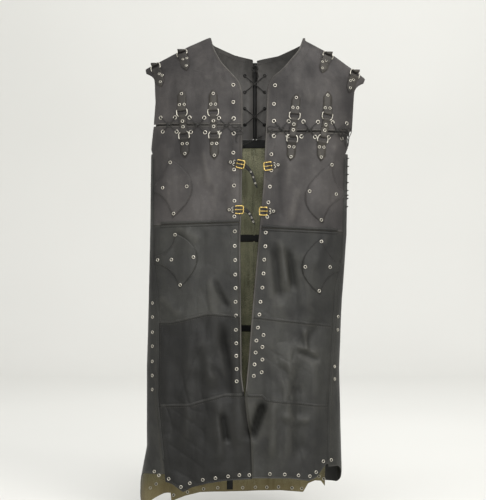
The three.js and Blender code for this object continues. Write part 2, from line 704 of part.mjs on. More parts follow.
// Crosses between two rows of eyelets, two eyelets of each row to a cross.
function laceRoute(upper, lower, fromBack, face) {
  const points = [];
  const over = laceDiameter / 2 + gap + 1.1;
  const at = (place, height) => {
    const { point, normal } = seatAt(place, fromBack);
    return point.addScaledVector(normal, -leather / 2 + face * (leather / 2 + height));
  };
  const level = (place, height) => {
    const { point, normal } = seatAt(place, fromBack);
    return point.addScaledVector(normal, -leather / 2 - face * (leather / 2 + height));
  };
  const mid = (a, b, share = 0.5) => [a[0] + (b[0] - a[0]) * share, a[1] + (b[1] - a[1]) * share];
  const down = (hole, next) => {
    points.push(at(mid(hole, next, 0.03), over), level(hole, -leather / 2), level(hole, over));
  };
  const up = (hole, next) => {
    points.push(level(hole, over), level(hole, -leather / 2), at(mid(hole, next, 0.03), over));
  };
  for (let i = 0; i + 1 < upper.length; i += 2) {
    if (i > 0) points.push(level(mid(upper[i - 1], upper[i]), over));
    else points.push(level([upper[0][0], upper[0][1] + 10], over));
    up(upper[i], lower[i + 1]);
    for (const share of [0.22, 0.5, 0.78]) points.push(at(mid(upper[i], lower[i + 1], share), over));
    down(lower[i + 1], upper[i]);
    points.push(level(mid(lower[i + 1], lower[i]), over));
    up(lower[i], upper[i + 1]);
    for (const [share, lift] of [[0.25, 0.6], [0.5, laceDiameter + 0.6], [0.75, 0.6]]) {
      points.push(at(mid(lower[i], upper[i + 1], share), over + lift));
    }
    down(upper[i + 1], lower[i]);
  }
  const last = upper[upper.length - 1];
  points.push(level([last[0], last[1] + 10], over));
  return points;
}

function laceBody(name, points) {
  const section = new THREE.Shape().absarc(0, 0, laceDiameter / 2, 0, 2 * Math.PI);
  const path = new LaceRoute(points);
  const steps = points.length - 1;
  const geometry = new THREE.ExtrudeGeometry(section, { steps, extrudePath: path, curveSegments: 4 });
  return named(name, solid(geometry), lace);
}

function frontLace(side) {
  const rows = lacing[side];
  return laceBody(`${side}_yoke_lace`, laceRoute(eyeletRow(rows.upper), eyeletRow(rows.lower), false, 1));
}

function backLaceColumns() {
  const rows = [...Array(backLacing.rows).keys()].map((row) => backLacing.top - row * backLacing.pitch);
  return [-1, 1].map((sign) => rows.map((z) => [backSlit.x + sign * backLacing.reach, z]));
}

function backLace() {
  const [right, left] = backLaceColumns();
  return laceBody('back_lace', laceRoute(right, left, true, -1));
}

// ---- The coat ----
function buildCoat() {
  const coat = new THREE.Group();
  for (const side of ['right', 'left']) {
    coat.add(...frontPanels(side), sidePanel(side), frontLace(side));
  }
  coat.add(...backPanels(), backLace());
  for (const [name, outline] of Object.entries(patches)) coat.add(patch(`${name}_patch`, outline));
  for (const [name, bars] of Object.entries(suspenders)) coat.add(...suspender(name, bars));
  for (const [name, places] of Object.entries(shoulderTabs)) coat.add(...shoulderTab(name, places));
  for (const [name, place] of Object.entries(buckles)) coat.add(...buckle(name, place));
  for (const [name, route] of Object.entries(billets)) {
    coat.add(billet(`${name}_billet`, buckles[`right_${name}`], route));
  }
  return coat;
}

export default buildCoat();
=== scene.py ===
"""Looks for a long sleeveless work coat of black leather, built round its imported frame.

Lengths in this file are millimetres unless a name ends in _m; they turn to metres when a mesh is made.
"""
import functools
import json
import math

import bmesh
import bpy
import numpy as np
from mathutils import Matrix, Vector
from mathutils.geometry import delaunay_2d_cdt


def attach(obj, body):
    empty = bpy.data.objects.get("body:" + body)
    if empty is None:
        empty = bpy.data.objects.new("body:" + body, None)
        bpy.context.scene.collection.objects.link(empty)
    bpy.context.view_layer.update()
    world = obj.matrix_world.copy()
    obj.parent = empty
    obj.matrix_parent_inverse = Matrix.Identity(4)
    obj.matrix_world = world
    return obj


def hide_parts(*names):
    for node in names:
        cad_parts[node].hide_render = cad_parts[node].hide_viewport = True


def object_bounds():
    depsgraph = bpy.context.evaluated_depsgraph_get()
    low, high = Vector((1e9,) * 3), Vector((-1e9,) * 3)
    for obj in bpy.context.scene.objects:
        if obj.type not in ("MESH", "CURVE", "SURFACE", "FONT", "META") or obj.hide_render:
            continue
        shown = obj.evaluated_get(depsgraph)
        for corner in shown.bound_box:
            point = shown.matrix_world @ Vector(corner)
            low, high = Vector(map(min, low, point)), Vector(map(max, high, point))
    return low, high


bl_info = {
    "name": "Laced Leather Coat",
    "version": (1, 0, 0),
    "blender": (4, 5, 0),
    "location": "View3D > Sidebar > Coat",
    "description": "Builds the leather, lacing and metal fittings of a sleeveless work coat round its frame",
    "category": "Object",
}

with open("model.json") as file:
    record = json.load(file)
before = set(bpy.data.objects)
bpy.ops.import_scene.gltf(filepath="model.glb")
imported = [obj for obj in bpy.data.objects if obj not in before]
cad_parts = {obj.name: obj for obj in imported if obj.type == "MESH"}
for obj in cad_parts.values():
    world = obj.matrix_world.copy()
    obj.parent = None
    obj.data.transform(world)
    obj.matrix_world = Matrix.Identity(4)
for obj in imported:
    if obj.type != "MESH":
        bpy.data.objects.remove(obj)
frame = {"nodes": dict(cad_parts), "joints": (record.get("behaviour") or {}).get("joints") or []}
CAD_BOX = [list(corner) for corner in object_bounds()]
MM = 0.001

# ---- Sizes shared with the frame ----
LEATHER = 2.4  # panel thickness
LAYER_GAP = 0.3  # between a panel and what lies on it
BODY_DEPTH = 168
YOKE_DROP = 160
STRAP = 2.2  # thickness of tabs, links and billets
WIRE = 3.0
RING_WIDTH = 29
RING_HEIGHT = 18
STRAP_WIDTH = 24
LINK_WIDTH = 18
BUCKLE = {"width": 23, "height": 24, "band": 3.2, "thickness": 2.6}
PRONG_WIDTH = 2.6
BAR_REACH = math.hypot(BUCKLE["band"], BUCKLE["thickness"]) / 2
BAR_BORE = BAR_REACH + 0.4
LACE = 2.4
SLIT = {"x": -6, "width": 10}

RIGHT_SIDE = [(0, 130), (-25, 187), (-87, 305), (-118, 297), (-180, 287), (-520, 291), (-905, 300),
              (-1117, 300), (-1310, 335)]
LEFT_SIDE = [(-8, 130), (-51, 211), (-113, 295), (-149, 277), (-255, 263), (-275, 247), (-540, 243),
             (-716, 230), (-905, 223), (-1310, 232)]
FRONT_EDGE = {
    "right": [(-130, 12), (-118, -35), (-98, -75), (-66, -111), (-52, -125), (-44, -142), (-40, -164),
              (-40, -250), (-42, -450), (-46, -560), (-42, -920), (-34, -977), (-28, -1038), (-18, -1092),
              (-15, -1172), (-14, -1330)],
    "left": [(130, 12), (112, -39), (67, -95), (38, -118), (30, -133), (26, -149), (22, -262), (15, -410),
             (-2, -606), (-13, -725), (-25, -883), (-34, -977), (-28, -1038), (-18, -1092), (-15, -1172),
             (-14, -1330)],
}
SEAMS = {
    "right": {
        "yoke": [(-400, -240), (20, -246)],
        "waist": [(-400, -518), (20, -506)],
        "hip": [(-400, -779), (-235, -779), (-134, -755), (-67, -760), (20, -772)],
        "knee": [(-400, -1010), (-182, -999), (-87, -972), (20, -972)],
        "hem": [(-400, -1176), (-297, -1176), (-273, -1200), (-230, -1211), (-200, -1233), (-176, -1220),
                (-136, -1209), (-85, -1201), (20, -1195)],
        "side": [(-284, -321), (-284, -600), (-269, -725), (-270, -985), (-250, -1180), (-235, -1340)],
    },
    "left": {
        "yoke": [(400, -258), (-60, -263)],
        "waist": [(400, -540), (-60, -519)],
        "hip": [(400, -811), (-60, -758)],
        "knee": [(400, -1028), (22, -986), (12, -975), (-60, -974)],
        "hem": [(400, -1160), (186, -1160), (157, -1195), (138, -1203), (87, -1195), (-60, -1195)],
        "side": [(238, -321), (233, -600), (212, -690), (206, -800), (195, -985), (188, -1340)],
    },
}
BACK_NECK = [(-140, 14), (-120, -18), (-60, -40), (0, -51), (60, -42), (118, -20), (140, 10)]
BACK_YOKE_HEM = -273
BACK_HEM = [(-400, -1330), (-247, -1290), (-200, -1272), (-160, -1263), (65, -1258), (130, -1262),
            (144, -1237), (163, -1228), (180, -1228), (193, -1245), (206, -1222), (400, -1222)]
SIDE_HEMS = {
    "right": [(-130, -1180), (-30, -1190), (20, -1235), (45, -1300), (70, -1262), (130, -1290)],
    "left": [(-130, -1165), (-40, -1168), (0, -1198), (40, -1225), (130, -1225)],
}
ARMHOLE = {"half_width": 38, "bottom": -315, "inset": 12}
LACED_GAP = 5
LACING = {
    "right": {"upper": [(-262, -224), (-64, -229)], "lower": [(-256, -262), (-64, -269)]},
    "left": {"upper": [(242, -239), (44, -236)], "lower": [(229, -279), (44, -276)]},
}
BACK_LACING = {"reach": 28, "top": -92, "pitch": 46, "rows": 4}
SUSPENDERS = {
    "right_outer": [(-205, -151), (-203, -205), (-196, -282), (-195, -334)],
    "right_inner": [(-119, -151), (-119, -205), (-116, -282), (-116, -339)],
    "left_inner": [(105, -162), (100, -214), (92, -291), (89, -343)],
    "left_outer": [(190, -155), (188, -214), (173, -291), (171, -343)],
}
SHOULDER_TABS = {
    "right_outer": [(-274, -90), (-262, -140)],
    "right_inner": [(-203, -52), (-192, -98)],
    "left_inner": [(190, -58), (175, -104)],
    "left_outer": [(263, -108), (250, -156)],
}
TAB_POINT = 15
BUCKLES = {
    "right_upper": ((-55, -350), -12, 1),
    "right_lower": ((-58, -474), 0, 1),
    "left_upper": ((37, -356), 8, -1),
    "left_lower": ((25, -478), 0, -1),
}
PATCHES = {
    "right_upper": [(-238, -334), (-175, -411), (-230, -496), (-243, -438), (-280, -428), (-280, -407),
                    (-247, -375)],
    "right_lower": [(-224, -535), (-161, -600), (-211, -686), (-222, -632), (-280, -618), (-280, -598),
                    (-224, -588)],
    "left_upper": [(206, -344), (128, -433), (177, -510), (190, -455), (234, -441), (234, -421),
                   (199, -400)],
    "left_lower": [(172, -550), (118, -627), (170, -702), (180, -650), (226, -638), (226, -618),
                   (188, -603)],
}


# ---- The coat's surface ----
def interpolate(line, value):
    """The second number of a list of pairs at a place along the first, whichever way the list runs."""
    pairs = sorted(line)
    return np.interp(value, [p[0] for p in pairs], [p[1] for p in pairs])


def spans(z):
    """Middle and half width of the coat's section at a height."""
    right, left = -interpolate(RIGHT_SIDE, z), interpolate(LEFT_SIDE, z)
    return (left + right) / 2, (left - right) / 2


def shoulder_height(x):
    heights = []
    for side in (RIGHT_SIDE, LEFT_SIDE):
        (top, neck), (middle, rise), (tip, reach) = side[:3]
        over = np.interp(np.abs(x), [neck, rise, reach], [top, middle, tip])
        heights.append(np.where(np.abs(x) < neck, top + (neck - np.abs(x)) * 0.35, over))
    return np.where(x < 0, heights[0], heights[1])


def section(angle, z):
    """Points of the bare surface; angle -90 degrees is the middle of the front."""
    middle, half = spans(z)
    across = np.sign(np.cos(angle)) * np.abs(np.cos(angle)) ** (2 / 3)
    deep = np.sign(np.sin(angle)) * np.abs(np.sin(angle)) ** (2 / 3)
    x = middle + half * across
    drop = np.clip((shoulder_height(x) - z) / YOKE_DROP, 0.02, 1)
    return np.stack([x, BODY_DEPTH / 2 * deep * (1 - (1 - drop) ** 2), z + 0 * x], -1)


def outward(angle, z):
    aside = section(angle + 0.03, z) - section(angle - 0.03, z)
    upward = section(angle, z + 12) - section(angle, z - 12)
    normal = np.cross(aside, upward)
    return normal / np.maximum(np.linalg.norm(normal, axis=-1, keepdims=True), 1e-9)


def angle_at(x, z, back=False):
    middle, half = spans(z)
    across = np.clip((x - middle) / half, -1, 1)
    angle = np.arccos(np.sign(across) * np.abs(across) ** 1.5)
    return angle if back else -angle


@functools.lru_cache(maxsize=None)
def noise_table(seed):
    return np.random.default_rng(seed).random((64, 64)) * 2 - 1


def noise(u, v, cell, seed):
    """Smooth repeatable value noise from -1 to 1, with one lump to a cell."""
    table = noise_table(seed)
    gu, gv = np.asarray(u) / cell, np.asarray(v) / cell
    iu, iv = np.floor(gu).astype(int), np.floor(gv).astype(int)
    fu, fv = gu - iu, gv - iv
    fu, fv = fu * fu * (3 - 2 * fu), fv * fv * (3 - 2 * fv)
    a, b = table[iu % 64, iv % 64], table[(iu + 1) % 64, iv % 64]
    c, d = table[iu % 64, (iv + 1) % 64], table[(iu + 1) % 64, (iv + 1) % 64]
    return (a * (1 - fu) + b * fu) * (1 - fv) + (c * (1 - fu) + d * fu) * fv


# Folds of the front as start, end, width and depth; a negative depth is a valley.
FRONT_FOLDS = [
    ((24, -985), (-22, -1100), 13, -13), ((46, -960), (36, -1150), 15, 6),
    ((-97, -1015), (-79, -1105), 9, -9),
    ((-100, -960), (-104, -1170), 16, 6), ((-102, -770), (-62, -975), 11, -8),
    ((-135, -640), (-95, -860), 18, 5),
    ((-122, -655), (-74, -745), 7, -5), ((-150, -800), (-118, -960), 20, 6), ((38, -555), (64, -735), 12, -8),
    ((80, -570), (98, -700), 10, -7), ((60, -545), (78, -700), 9, 5), ((122, -790), (130, -860), 8, 6),
    ((100, -850), (172, -880), 7, -4), ((96, -835), (168, -866), 7, 4), ((128, -560), (150, -790), 22, 5),
    ((-180, -800), (-196, -1160), 22, 6), ((-150, -820), (-146, -1150), 16, -5),
    ((-240, -860), (-252, -1170), 20, 6),
    ((84, -800), (76, -1180), 18, 6), ((112, -880), (110, -1180), 16, -6), ((156, -840), (150, -1160), 20, 5),
    ((-60, -860), (-48, -1180), 14, 5), ((-230, -520), (-150, -560), 12, 3),
    ((-270, -700), (-205, -770), 16, 4),
    ((-246, -270), (-232, -500), 18, 3), ((-90, -290), (-84, -500), 16, -3),
    ((-140, -300), (-128, -420), 14, 3),
    ((60, -300), (66, -520), 14, -3), ((110, -400), (86, -520), 14, 3), ((200, -290), (186, -360), 16, 3),
    ((-70, -120), (-150, -190), 18, 2), ((80, -130), (160, -190), 18, 2),
    ((-250, -120), (-180, -200), 16, -2),
    ((50, -1030), (150, -1042), 12, 4), ((180, -760), (110, -860), 16, -4),
    ((-200, -520), (-240, -640), 14, -3),
    ((200, -520), (150, -640), 14, 3), ((-130, -880), (-60, -990), 12, -4), ((60, -880), (110, -980), 12, -4),
]
BACK_FOLDS = [
    ((-210, -300), (-190, -700), 26, 5), ((-90, -320), (-120, -760), 24, -5), ((60, -320), (90, -780), 24, 5),
    ((160, -330), (140, -760), 22, -5), ((-220, -760), (-240, -1240), 26, 8),
    ((-130, -720), (-140, -1240), 22, -8),
    ((-40, -760), (-50, -1240), 24, 8), ((50, -740), (60, -1240), 22, -8), ((130, -780), (140, -1230), 22, 7),
    ((-60, -300), (60, -360), 16, 3), ((-180, -560), (-60, -640), 16, -3), ((40, -560), (150, -660), 16, 3),
]


# Creases of the hide as lean off the vertical, spacing, seed and depth.
CREASES = [(0.35, 34, 11, 1.5), (-0.45, 42, 13, 1.4), (0.05, 26, 17, 1.1), (1.6, 52, 19, 0.9)]


def flat_places():
    """Places that stay smooth, because fittings lie there: middle and reach."""
    places = [((a[0] + d[0]) / 2, (a[1] + d[1]) / 2, 28, 125) for a, _, _, d in SUSPENDERS.values()]
    places += [(x + 8 * towards, z, 30, 30) for (x, z), _, towards in BUCKLES.values()]
    places += [((a[0] + b[0]) / 2, (a[1] + b[1]) / 2, 30, 45) for a, b in SHOULDER_TABS.values()]
    return places


FLAT_PLACES = flat_places()


def folds(x, z, back):
    """How far the hanging leather stands out of (or sinks below) the smooth surface."""
    out = np.zeros(np.broadcast(x, z).shape)
    for (x0, z0), (x1, z1), width, depth in (BACK_FOLDS if back else FRONT_FOLDS):
        dx, dz = x1 - x0, z1 - z0
        length = math.hypot(dx, dz)
        share = ((x - x0) * dx + (z - z0) * dz) / length ** 2
        wander = 4 * noise(x * 0 + share * length, z * 0, 60, int(abs(x0) + abs(z0)))
        aside = ((x - x0) * dz - (z - z0) * dx) / length + wander
        ends = np.clip(share / 0.25, 0, 1) * np.clip((1 - share) / 0.25, 0, 1)
        out = out + depth * np.exp(-((aside / width) ** 2)) * ends * ends * (3 - 2 * ends)
    lower = np.clip((-z - 250) / 800, 0, 1)
    out = out + noise(x, z * 0.35, 46, 3) * (0.9 + 3.4 * lower)
    out = out + noise(x, z, 30, 5) * (0.35 + 0.9 * lower)
    for lean, cell, seed, depth in CREASES:
        line = 1 - np.abs(noise(x + z * lean, z * 0.22 - x * lean * 0.2, cell, seed))
        patchy = np.clip(noise(x, z, 95, seed + 40) * 1.6 + 0.35, 0, 1)
        out = out - line ** 5 * patchy * depth * (0.55 + 0.6 * lower)
    if not back:
        for px, pz, wx, wz in FLAT_PLACES:
            far = np.clip((np.hypot((x - px) / wx, (z - pz) / wz) - 0.75) / 0.5, 0, 1)
            out = out * far * far * (3 - 2 * far)
        laced = np.clip((np.abs(z + 252) - 26) / 22, 0, 1)
        out = out * laced
    shoulders = np.clip((shoulder_height(x) - z - 20) / 60, 0, 1)
    return out * shoulders


def coat_points(angle, z, lift):
    """Points at a lift over the inner face of the leather, folds included."""
    bare = section(angle, z)
    share = np.clip(np.sin(angle) + 0.5, 0, 1)
    fold = 0
    if np.any(share < 1):
        fold = fold + folds(bare[..., 0], z, False) * (1 - share)
    if np.any(share > 0):
        fold = fold + folds(bare[..., 0], z, True) * share
    fold = fold * (1 - 0.85 * np.abs(np.cos(angle)) ** 8)
    return bare + outward(angle, z) * (lift + fold)[..., None]


def on_coat(x, z, lift, back=False):
    """Points straight in front of (or behind) places of the front view, at a lift over the outer face."""
    x, z = np.asarray(x, float), np.asarray(z, float)
    aim = x.copy()
    for _ in range(2):
        angle = angle_at(aim, z, back)
        point = coat_points(angle, z, np.full(x.shape, LEATHER + lift))
        aim = aim + (x - point[..., 0]) * 0.9
    return coat_points(angle_at(aim, z, back), z, np.full(x.shape, LEATHER + lift))


def normals_on_coat(x, z, back=False):
    x, z = np.asarray(x, float), np.asarray(z, float)
    right, left = on_coat(x + 3, z, 0, back), on_coat(x - 3, z, 0, back)
    above, below = on_coat(x, z + 3, 0, back), on_coat(x, z - 3, 0, back)
    normal = np.cross(right - left, above - below)
    normal = normal / np.linalg.norm(normal, axis=-1, keepdims=True)
    return -normal if back else normal


# ---- Mesh making ----
def make_piece(name, points, faces, materials, slots=None, smooth=True, attributes=None):
    """A mesh object from points in millimetres, with one material slot per given material."""
    mesh = bpy.data.meshes.new(name)
    mesh.from_pydata((np.asarray(points) * MM).tolist(), [], [list(map(int, face)) for face in faces])
    for material in materials:
        mesh.materials.append(material)
    if slots is not None:
        mesh.polygons.foreach_set("material_index", np.asarray(slots, np.int32))
    mesh.polygons.foreach_set("use_smooth", np.full(len(mesh.polygons), smooth))
    for key, values in (attributes or {}).items():
        layer = mesh.attributes.new(key, "FLOAT", "POINT")
        layer.data.foreach_set("value", np.asarray(values, np.float32))
    mesh.validate()
    mesh.update()
    piece = bpy.data.objects.new(name, mesh)
    bpy.context.scene.collection.objects.link(piece)
    return piece


def stand_for(piece, body, slot, *nodes):
    """The piece rides on a body and stands for CAD nodes; the slot is not used."""
    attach(piece, body)
    if nodes:
        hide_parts(*nodes)
    return piece


def grid_faces(rows, columns, closed=False):
    """Quads of a grid of points in rows; a closed grid joins its last column to its first."""
    faces = []
    for r in range(rows - 1):
        for c in range(columns if closed else columns - 1):
            a, b = r * columns + c, r * columns + (c + 1) % columns
            faces.append((a, a + columns, b + columns, b))
    return faces


class Gathered:
    """Small shapes gathered into one mesh."""

    def __init__(self):
        self.points, self.faces, self.slots = [], [], []

    def add(self, points, faces, slot=0):
        start = len(self.points)
        self.points.extend(np.asarray(points, float).reshape(-1, 3).tolist())
        self.faces.extend([[start + i for i in face] for face in faces])
        self.slots.extend([slot] * len(faces))

    def piece(self, name, materials, smooth=True):
        made = make_piece(name, self.points, self.faces, materials, self.slots, smooth)
        form = bmesh.new()
        form.from_mesh(made.data)
        bmesh.ops.recalc_face_normals(form, faces=form.faces)
        form.to_mesh(made.data)
        form.free()
        return made


def plated_eyelets(gathered, name, body="coat", *more):
    """Nickel-plated eyelets with dark barrels, as one piece."""
    kinds = ("nickel_plate", "barrel_shadow", *more)
    stand_for(gathered.piece(name, [finish(kind) for kind in kinds]), body, "ring_steel")


def even_steps(line, step):
    """The points of a polyline at even steps along it."""
    line = np.asarray(line, float)
    lengths = np.concatenate([[0], np.cumsum(np.linalg.norm(np.diff(line, axis=0), axis=1))])
    count = max(2, int(round(lengths[-1] / step)) + 1)
    at = np.linspace(0, lengths[-1], count)
    return np.stack([np.interp(at, lengths, line[:, k]) for k in range(line.shape[1])], -1)


def rounded_line(line, step=4, passes=6):
    """A polyline in even steps with its corners eased."""
    line = even_steps(line, step)
    for _ in range(passes):
        line[1:-1] = (line[:-2] + 2 * line[1:-1] + line[2:]) / 4
    return line


def offset_line(line, distance):
    """A front-view line moved to its left by a distance."""
    line = np.asarray(line, float)
    ahead = np.gradient(line, axis=0)
    ahead /= np.maximum(np.linalg.norm(ahead, axis=1, keepdims=True), 1e-9)
    return line + np.stack([-ahead[:, 1], ahead[:, 0]], -1) * distance


def strip(gathered, line, width, height, back=False, sunk=0.4, lift=0.0, slot=0):
    """A flat raised strip of leather along a front-view line, with eased edges."""
    line = np.asarray(line, float)
    profile = [(-0.5, -sunk), (-0.48, height * 0.55), (-0.36, height), (0, height * 1.08), (0.36, height),
               (0.48, height * 0.55), (0.5, -sunk)]
    columns = []
    for across, up in profile:
        moved = offset_line(line, across * width)
        columns.append(on_coat(moved[:, 0], moved[:, 1], lift + up, back))
    points = np.stack(columns, 1)
    rows, count = points.shape[:2]
    faces = grid_faces(rows, count, closed=True)
    faces.append(list(range(count)))
    faces.append([(rows - 1) * count + i for i in reversed(range(count))])
    gathered.add(points, faces, slot)


def tube(gathered, path, radius, sides=8, slot=0, flat=1.0, closed=False):
    """A round or flattened cord along points; flat squeezes it across its first normal."""
    path = np.asarray(path, float)
    if closed:
        tangents = np.roll(path, -1, 0) - np.roll(path, 1, 0)
    else:
        tangents = np.gradient(path, axis=0)
    tangents /= np.maximum(np.linalg.norm(tangents, axis=1, keepdims=True), 1e-9)
    side = np.cross(tangents[0], [0.0, -1.0, 0.001])
    rings = []
    radii = np.broadcast_to(radius, len(path))
    for point, tangent, r in zip(path, tangents, radii):
        side = side - tangent * side.dot(tangent)
        side /= max(np.linalg.norm(side), 1e-9)
        up = np.cross(tangent, side)
        turn = np.arange(sides) * 2 * math.pi / sides
        rings.append(point + r * (np.outer(np.cos(turn), side) + flat * np.outer(np.sin(turn), up)))
    points = np.stack(rings)
    faces = grid_faces(len(path), sides, closed=True)
    if closed:
        last = (len(path) - 1) * sides
        faces += [(last + c, c, (c + 1) % sides, last + (c + 1) % sides) for c in range(sides)]
    else:
        faces.append(list(range(sides)))
        faces.append([(len(path) - 1) * sides + i for i in reversed(range(sides))])
    gathered.add(points, faces, slot)


def smooth_path(points, per_span=6):
    """A Catmull-Rom curve through points."""
    p = np.asarray(points, float)
    p = np.vstack([2 * p[0] - p[1], p, 2 * p[-1] - p[-2]])
    t = np.linspace(0, 1, per_span, endpoint=False)[:, None]
    out = []
    for a, b, c, d in zip(p[:-3], p[1:-2], p[2:-1], p[3:]):
        out.append(0.5 * (2 * b + (c - a) * t + (2 * a - 5 * b + 4 * c - d) * t ** 2
                          + (3 * b - a - 3 * c + d) * t ** 3))
    return np.vstack([*out, p[-2:-1]])


def stitches(gathered, line, back=False, lift=0.0, pitch=6.0, length=4.0, width=0.9, slot=0):
    """A row of single thread stitches along a front-view line on the leather."""
    line = even_steps(line, pitch)
    middle = (line[:-1] + line[1:]) / 2
    ahead = line[1:] - line[:-1]
    ahead /= np.maximum(np.linalg.norm(ahead, axis=1, keepdims=True), 1e-9)
    start, end = middle - ahead * length / 2, middle + ahead * length / 2
    place = on_coat(middle[:, 0], middle[:, 1], lift + 0.25, back)
    first = on_coat(start[:, 0], start[:, 1], lift - 0.2, back)
    last = on_coat(end[:, 0], end[:, 1], lift - 0.2, back)
    normal = normals_on_coat(middle[:, 0], middle[:, 1], back)
    for p, a, b, n in zip(place, first, last, normal):
        stitch(gathered, p, a, b, n, width, slot)


def stitch(gathered, place, first, last, normal, width, slot=0):
    along = last - first
    along /= max(np.linalg.norm(along), 1e-9)
    side = np.cross(normal, along) * width / 2
    up = normal * width * 0.4
    near, far = (first * 2 + place) / 3, (last * 2 + place) / 3
    points = [first, near + side + up * 0.4, near - side + up * 0.4, near + up, place + side, place - side,
              place + up * 1.3, far + side + up * 0.4, far - side + up * 0.4, far + up, last]
    faces = [(0, 1, 3), (0, 3, 2), (1, 4, 6, 3), (3, 6, 5, 2), (4, 7, 9, 6), (6, 9, 8, 5), (7, 10, 9),
             (9, 10, 8), (0, 2, 5, 8, 10, 7, 4, 1)]
    gathered.add(points, faces, slot)


EYELET_PROFILE = [(0.54, -0.9), (0.54, 0.1), (0.59, 0.7), (0.7, 1.0), (0.83, 0.9), (0.94, 0.5), (1.0, 0.0),
                  (0.97, -0.3)]


def eyelet(gathered, place, normal, radius, metal=0, dark=1, sides=20):
    """A set eyelet: a domed washer rolled into its hole, and the hole's shadow."""
    normal = np.asarray(normal, float)
    side = np.cross(normal, [0.0, 0.0, 1.0])
    side /= max(np.linalg.norm(side), 1e-9)
    up = np.cross(normal, side)
    turn = np.arange(sides) * 2 * math.pi / sides
    ring = np.outer(np.cos(turn), side) + np.outer(np.sin(turn), up)
    points = np.stack([place + ring * radius * r + normal * h for r, h in EYELET_PROFILE])
    faces = grid_faces(len(EYELET_PROFILE), sides, closed=True)
    last = (len(EYELET_PROFILE) - 1) * sides
    faces += [(last + c, c, (c + 1) % sides, last + (c + 1) % sides) for c in range(sides)]
    gathered.add(points, faces, metal)
    disc = place + ring * radius * 0.57 + normal * 0.02
    floor = place + ring * radius * 0.57 - normal * 0.5
    caps = [list(range(sides)), [sides + i for i in reversed(range(sides))]]
    walls = [(c, c + sides, (c + 1) % sides + sides, (c + 1) % sides) for c in range(sides)]
    gathered.add(np.vstack([disc, floor]), caps + walls, dark)


def flat_shape(outline, spacing, on_surface, thickness, edge=0.5):
    """A thin closed piece from a front-view outline: points and faces of its top, bottom and rim.

    on_surface turns front-view places and a lift into points.
    """
    outline = np.asarray(outline, float)
    if np.sum(outline[:, 0] * np.roll(outline[:, 1], -1) - np.roll(outline[:, 0], -1) * outline[:, 1]) > 0:
        outline = outline[::-1]
    low, high = outline.min(0), outline.max(0)
    inside = []
    for x in np.arange(low[0] + spacing / 2, high[0], spacing):
        for z in np.arange(low[1] + spacing / 2, high[1], spacing):
            if within(outline, x, z) and nearest(outline, x, z) > spacing * 0.55:
                inside.append((x, z))
    count = len(outline)
    verts = [Vector(p) for p in outline] + [Vector(p) for p in inside]
    rim = [(i, (i + 1) % count) for i in range(count)]
    made = delaunay_2d_cdt(verts, rim, [], 1, 1e-5)
    places = np.array([list(p) for p in made[0]])
    triangles = np.array([list(f) for f in made[2]])
    a, b, c = (places[triangles[:, k]] for k in range(3))
    turning = (b[:, 0] - a[:, 0]) * (c[:, 1] - a[:, 1]) - (b[:, 1] - a[:, 1]) * (c[:, 0] - a[:, 0])
    triangles[turning < 0] = triangles[turning < 0][:, ::-1]
    on_rim = np.zeros(len(places), bool)
    on_rim[:count] = True
    top = on_surface(places[:, 0], places[:, 1], np.where(on_rim, thickness - edge, thickness))
    bottom = on_surface(places[:, 0], places[:, 1], np.zeros(len(places)))
    n = len(places)
    faces = [tuple(f) for f in triangles] + [(f[0] + n, f[2] + n, f[1] + n) for f in triangles]
    faces += [(i, (i + 1) % count, (i + 1) % count + n, i + n) for i in range(count)]
    return np.vstack([top, bottom]), faces


def within(outline, x, z):
    x0, z0 = outline[:, 0], outline[:, 1]
    x1, z1 = np.roll(x0, -1), np.roll(z0, -1)
    crossing = (z0 > z) != (z1 > z)
    with np.errstate(divide="ignore", invalid="ignore"):
        reach = x0 + (z - z0) * (x1 - x0) / (z1 - z0)
    return bool(np.sum(crossing & (x < reach)) % 2)


def nearest(outline, x, z):
    start, end = outline, np.roll(outline, -1, 0)
    along = end - start
    share = np.clip(((x - start[:, 0]) * along[:, 0] + (z - start[:, 1]) * along[:, 1])
                    / np.maximum((along ** 2).sum(1), 1e-9), 0, 1)
    foot = start + along * share[:, None]
    return float(np.min(np.hypot(foot[:, 0] - x, foot[:, 1] - z)))


# ---- Finishes ----
def linear(code):
    """An sRGB hex colour as linear values."""
    channels = [int(code[i:i + 2], 16) / 255 for i in (1, 3, 5)]
    return [c / 12.92 if c <= 0.04045 else ((c + 0.055) / 1.055) ** 2.4 for c in channels]


def add_node(tree, kind, settings=None, inputs=None):
    """Adds a node; an input is a value, or the socket that feeds it."""
    made = tree.nodes.new(kind)
    for key, value in (settings or {}).items():
        setattr(made, key, value)
    for key, value in (inputs or {}).items():
        if isinstance(value, bpy.types.NodeSocket):
            tree.links.new(value, made.inputs[key])
        else:
            made.inputs[key].default_value = value
    return made


def arithmetic(tree, operation, *terms, clamp=False):
    """What a maths node gives; its terms are numbers or sockets."""
    return add_node(tree, "ShaderNodeMath", {"operation": operation, "use_clamp": clamp},
                    dict(enumerate(terms))).outputs[0]


def scaled(tree, place, scale):
    """The place with each axis multiplied, so that a texture runs long along one of them."""
    return add_node(tree, "ShaderNodeMapping", inputs={"Vector": place, "Scale": scale}).outputs[0]


def ramp(tree, factor, stops):
    """A colour ramp from a socket; stops are (place, grey) or (place, hex)."""
    made = add_node(tree, "ShaderNodeValToRGB", inputs={"Fac": factor})
    elements = made.color_ramp.elements
    while len(elements) < len(stops):
        elements.new(0.5)
    for element, (place, value) in zip(elements, stops):
        element.position = place
        element.color = (*(linear(value) if isinstance(value, str) else [value] * 3), 1)
    return made.outputs["Color"]


def new_finish(name, **settings):
    """A material with its shader's constants set on the sockets."""
    material = bpy.data.materials.new(name)
    material.use_nodes = True
    tree = material.node_tree
    shader = tree.nodes["Principled BSDF"]
    for key, value in settings.items():
        shader.inputs[key.replace("_", " ")].default_value = value
    place = add_node(tree, "ShaderNodeTexCoord")
    return material, tree, shader, place.outputs["Object"]


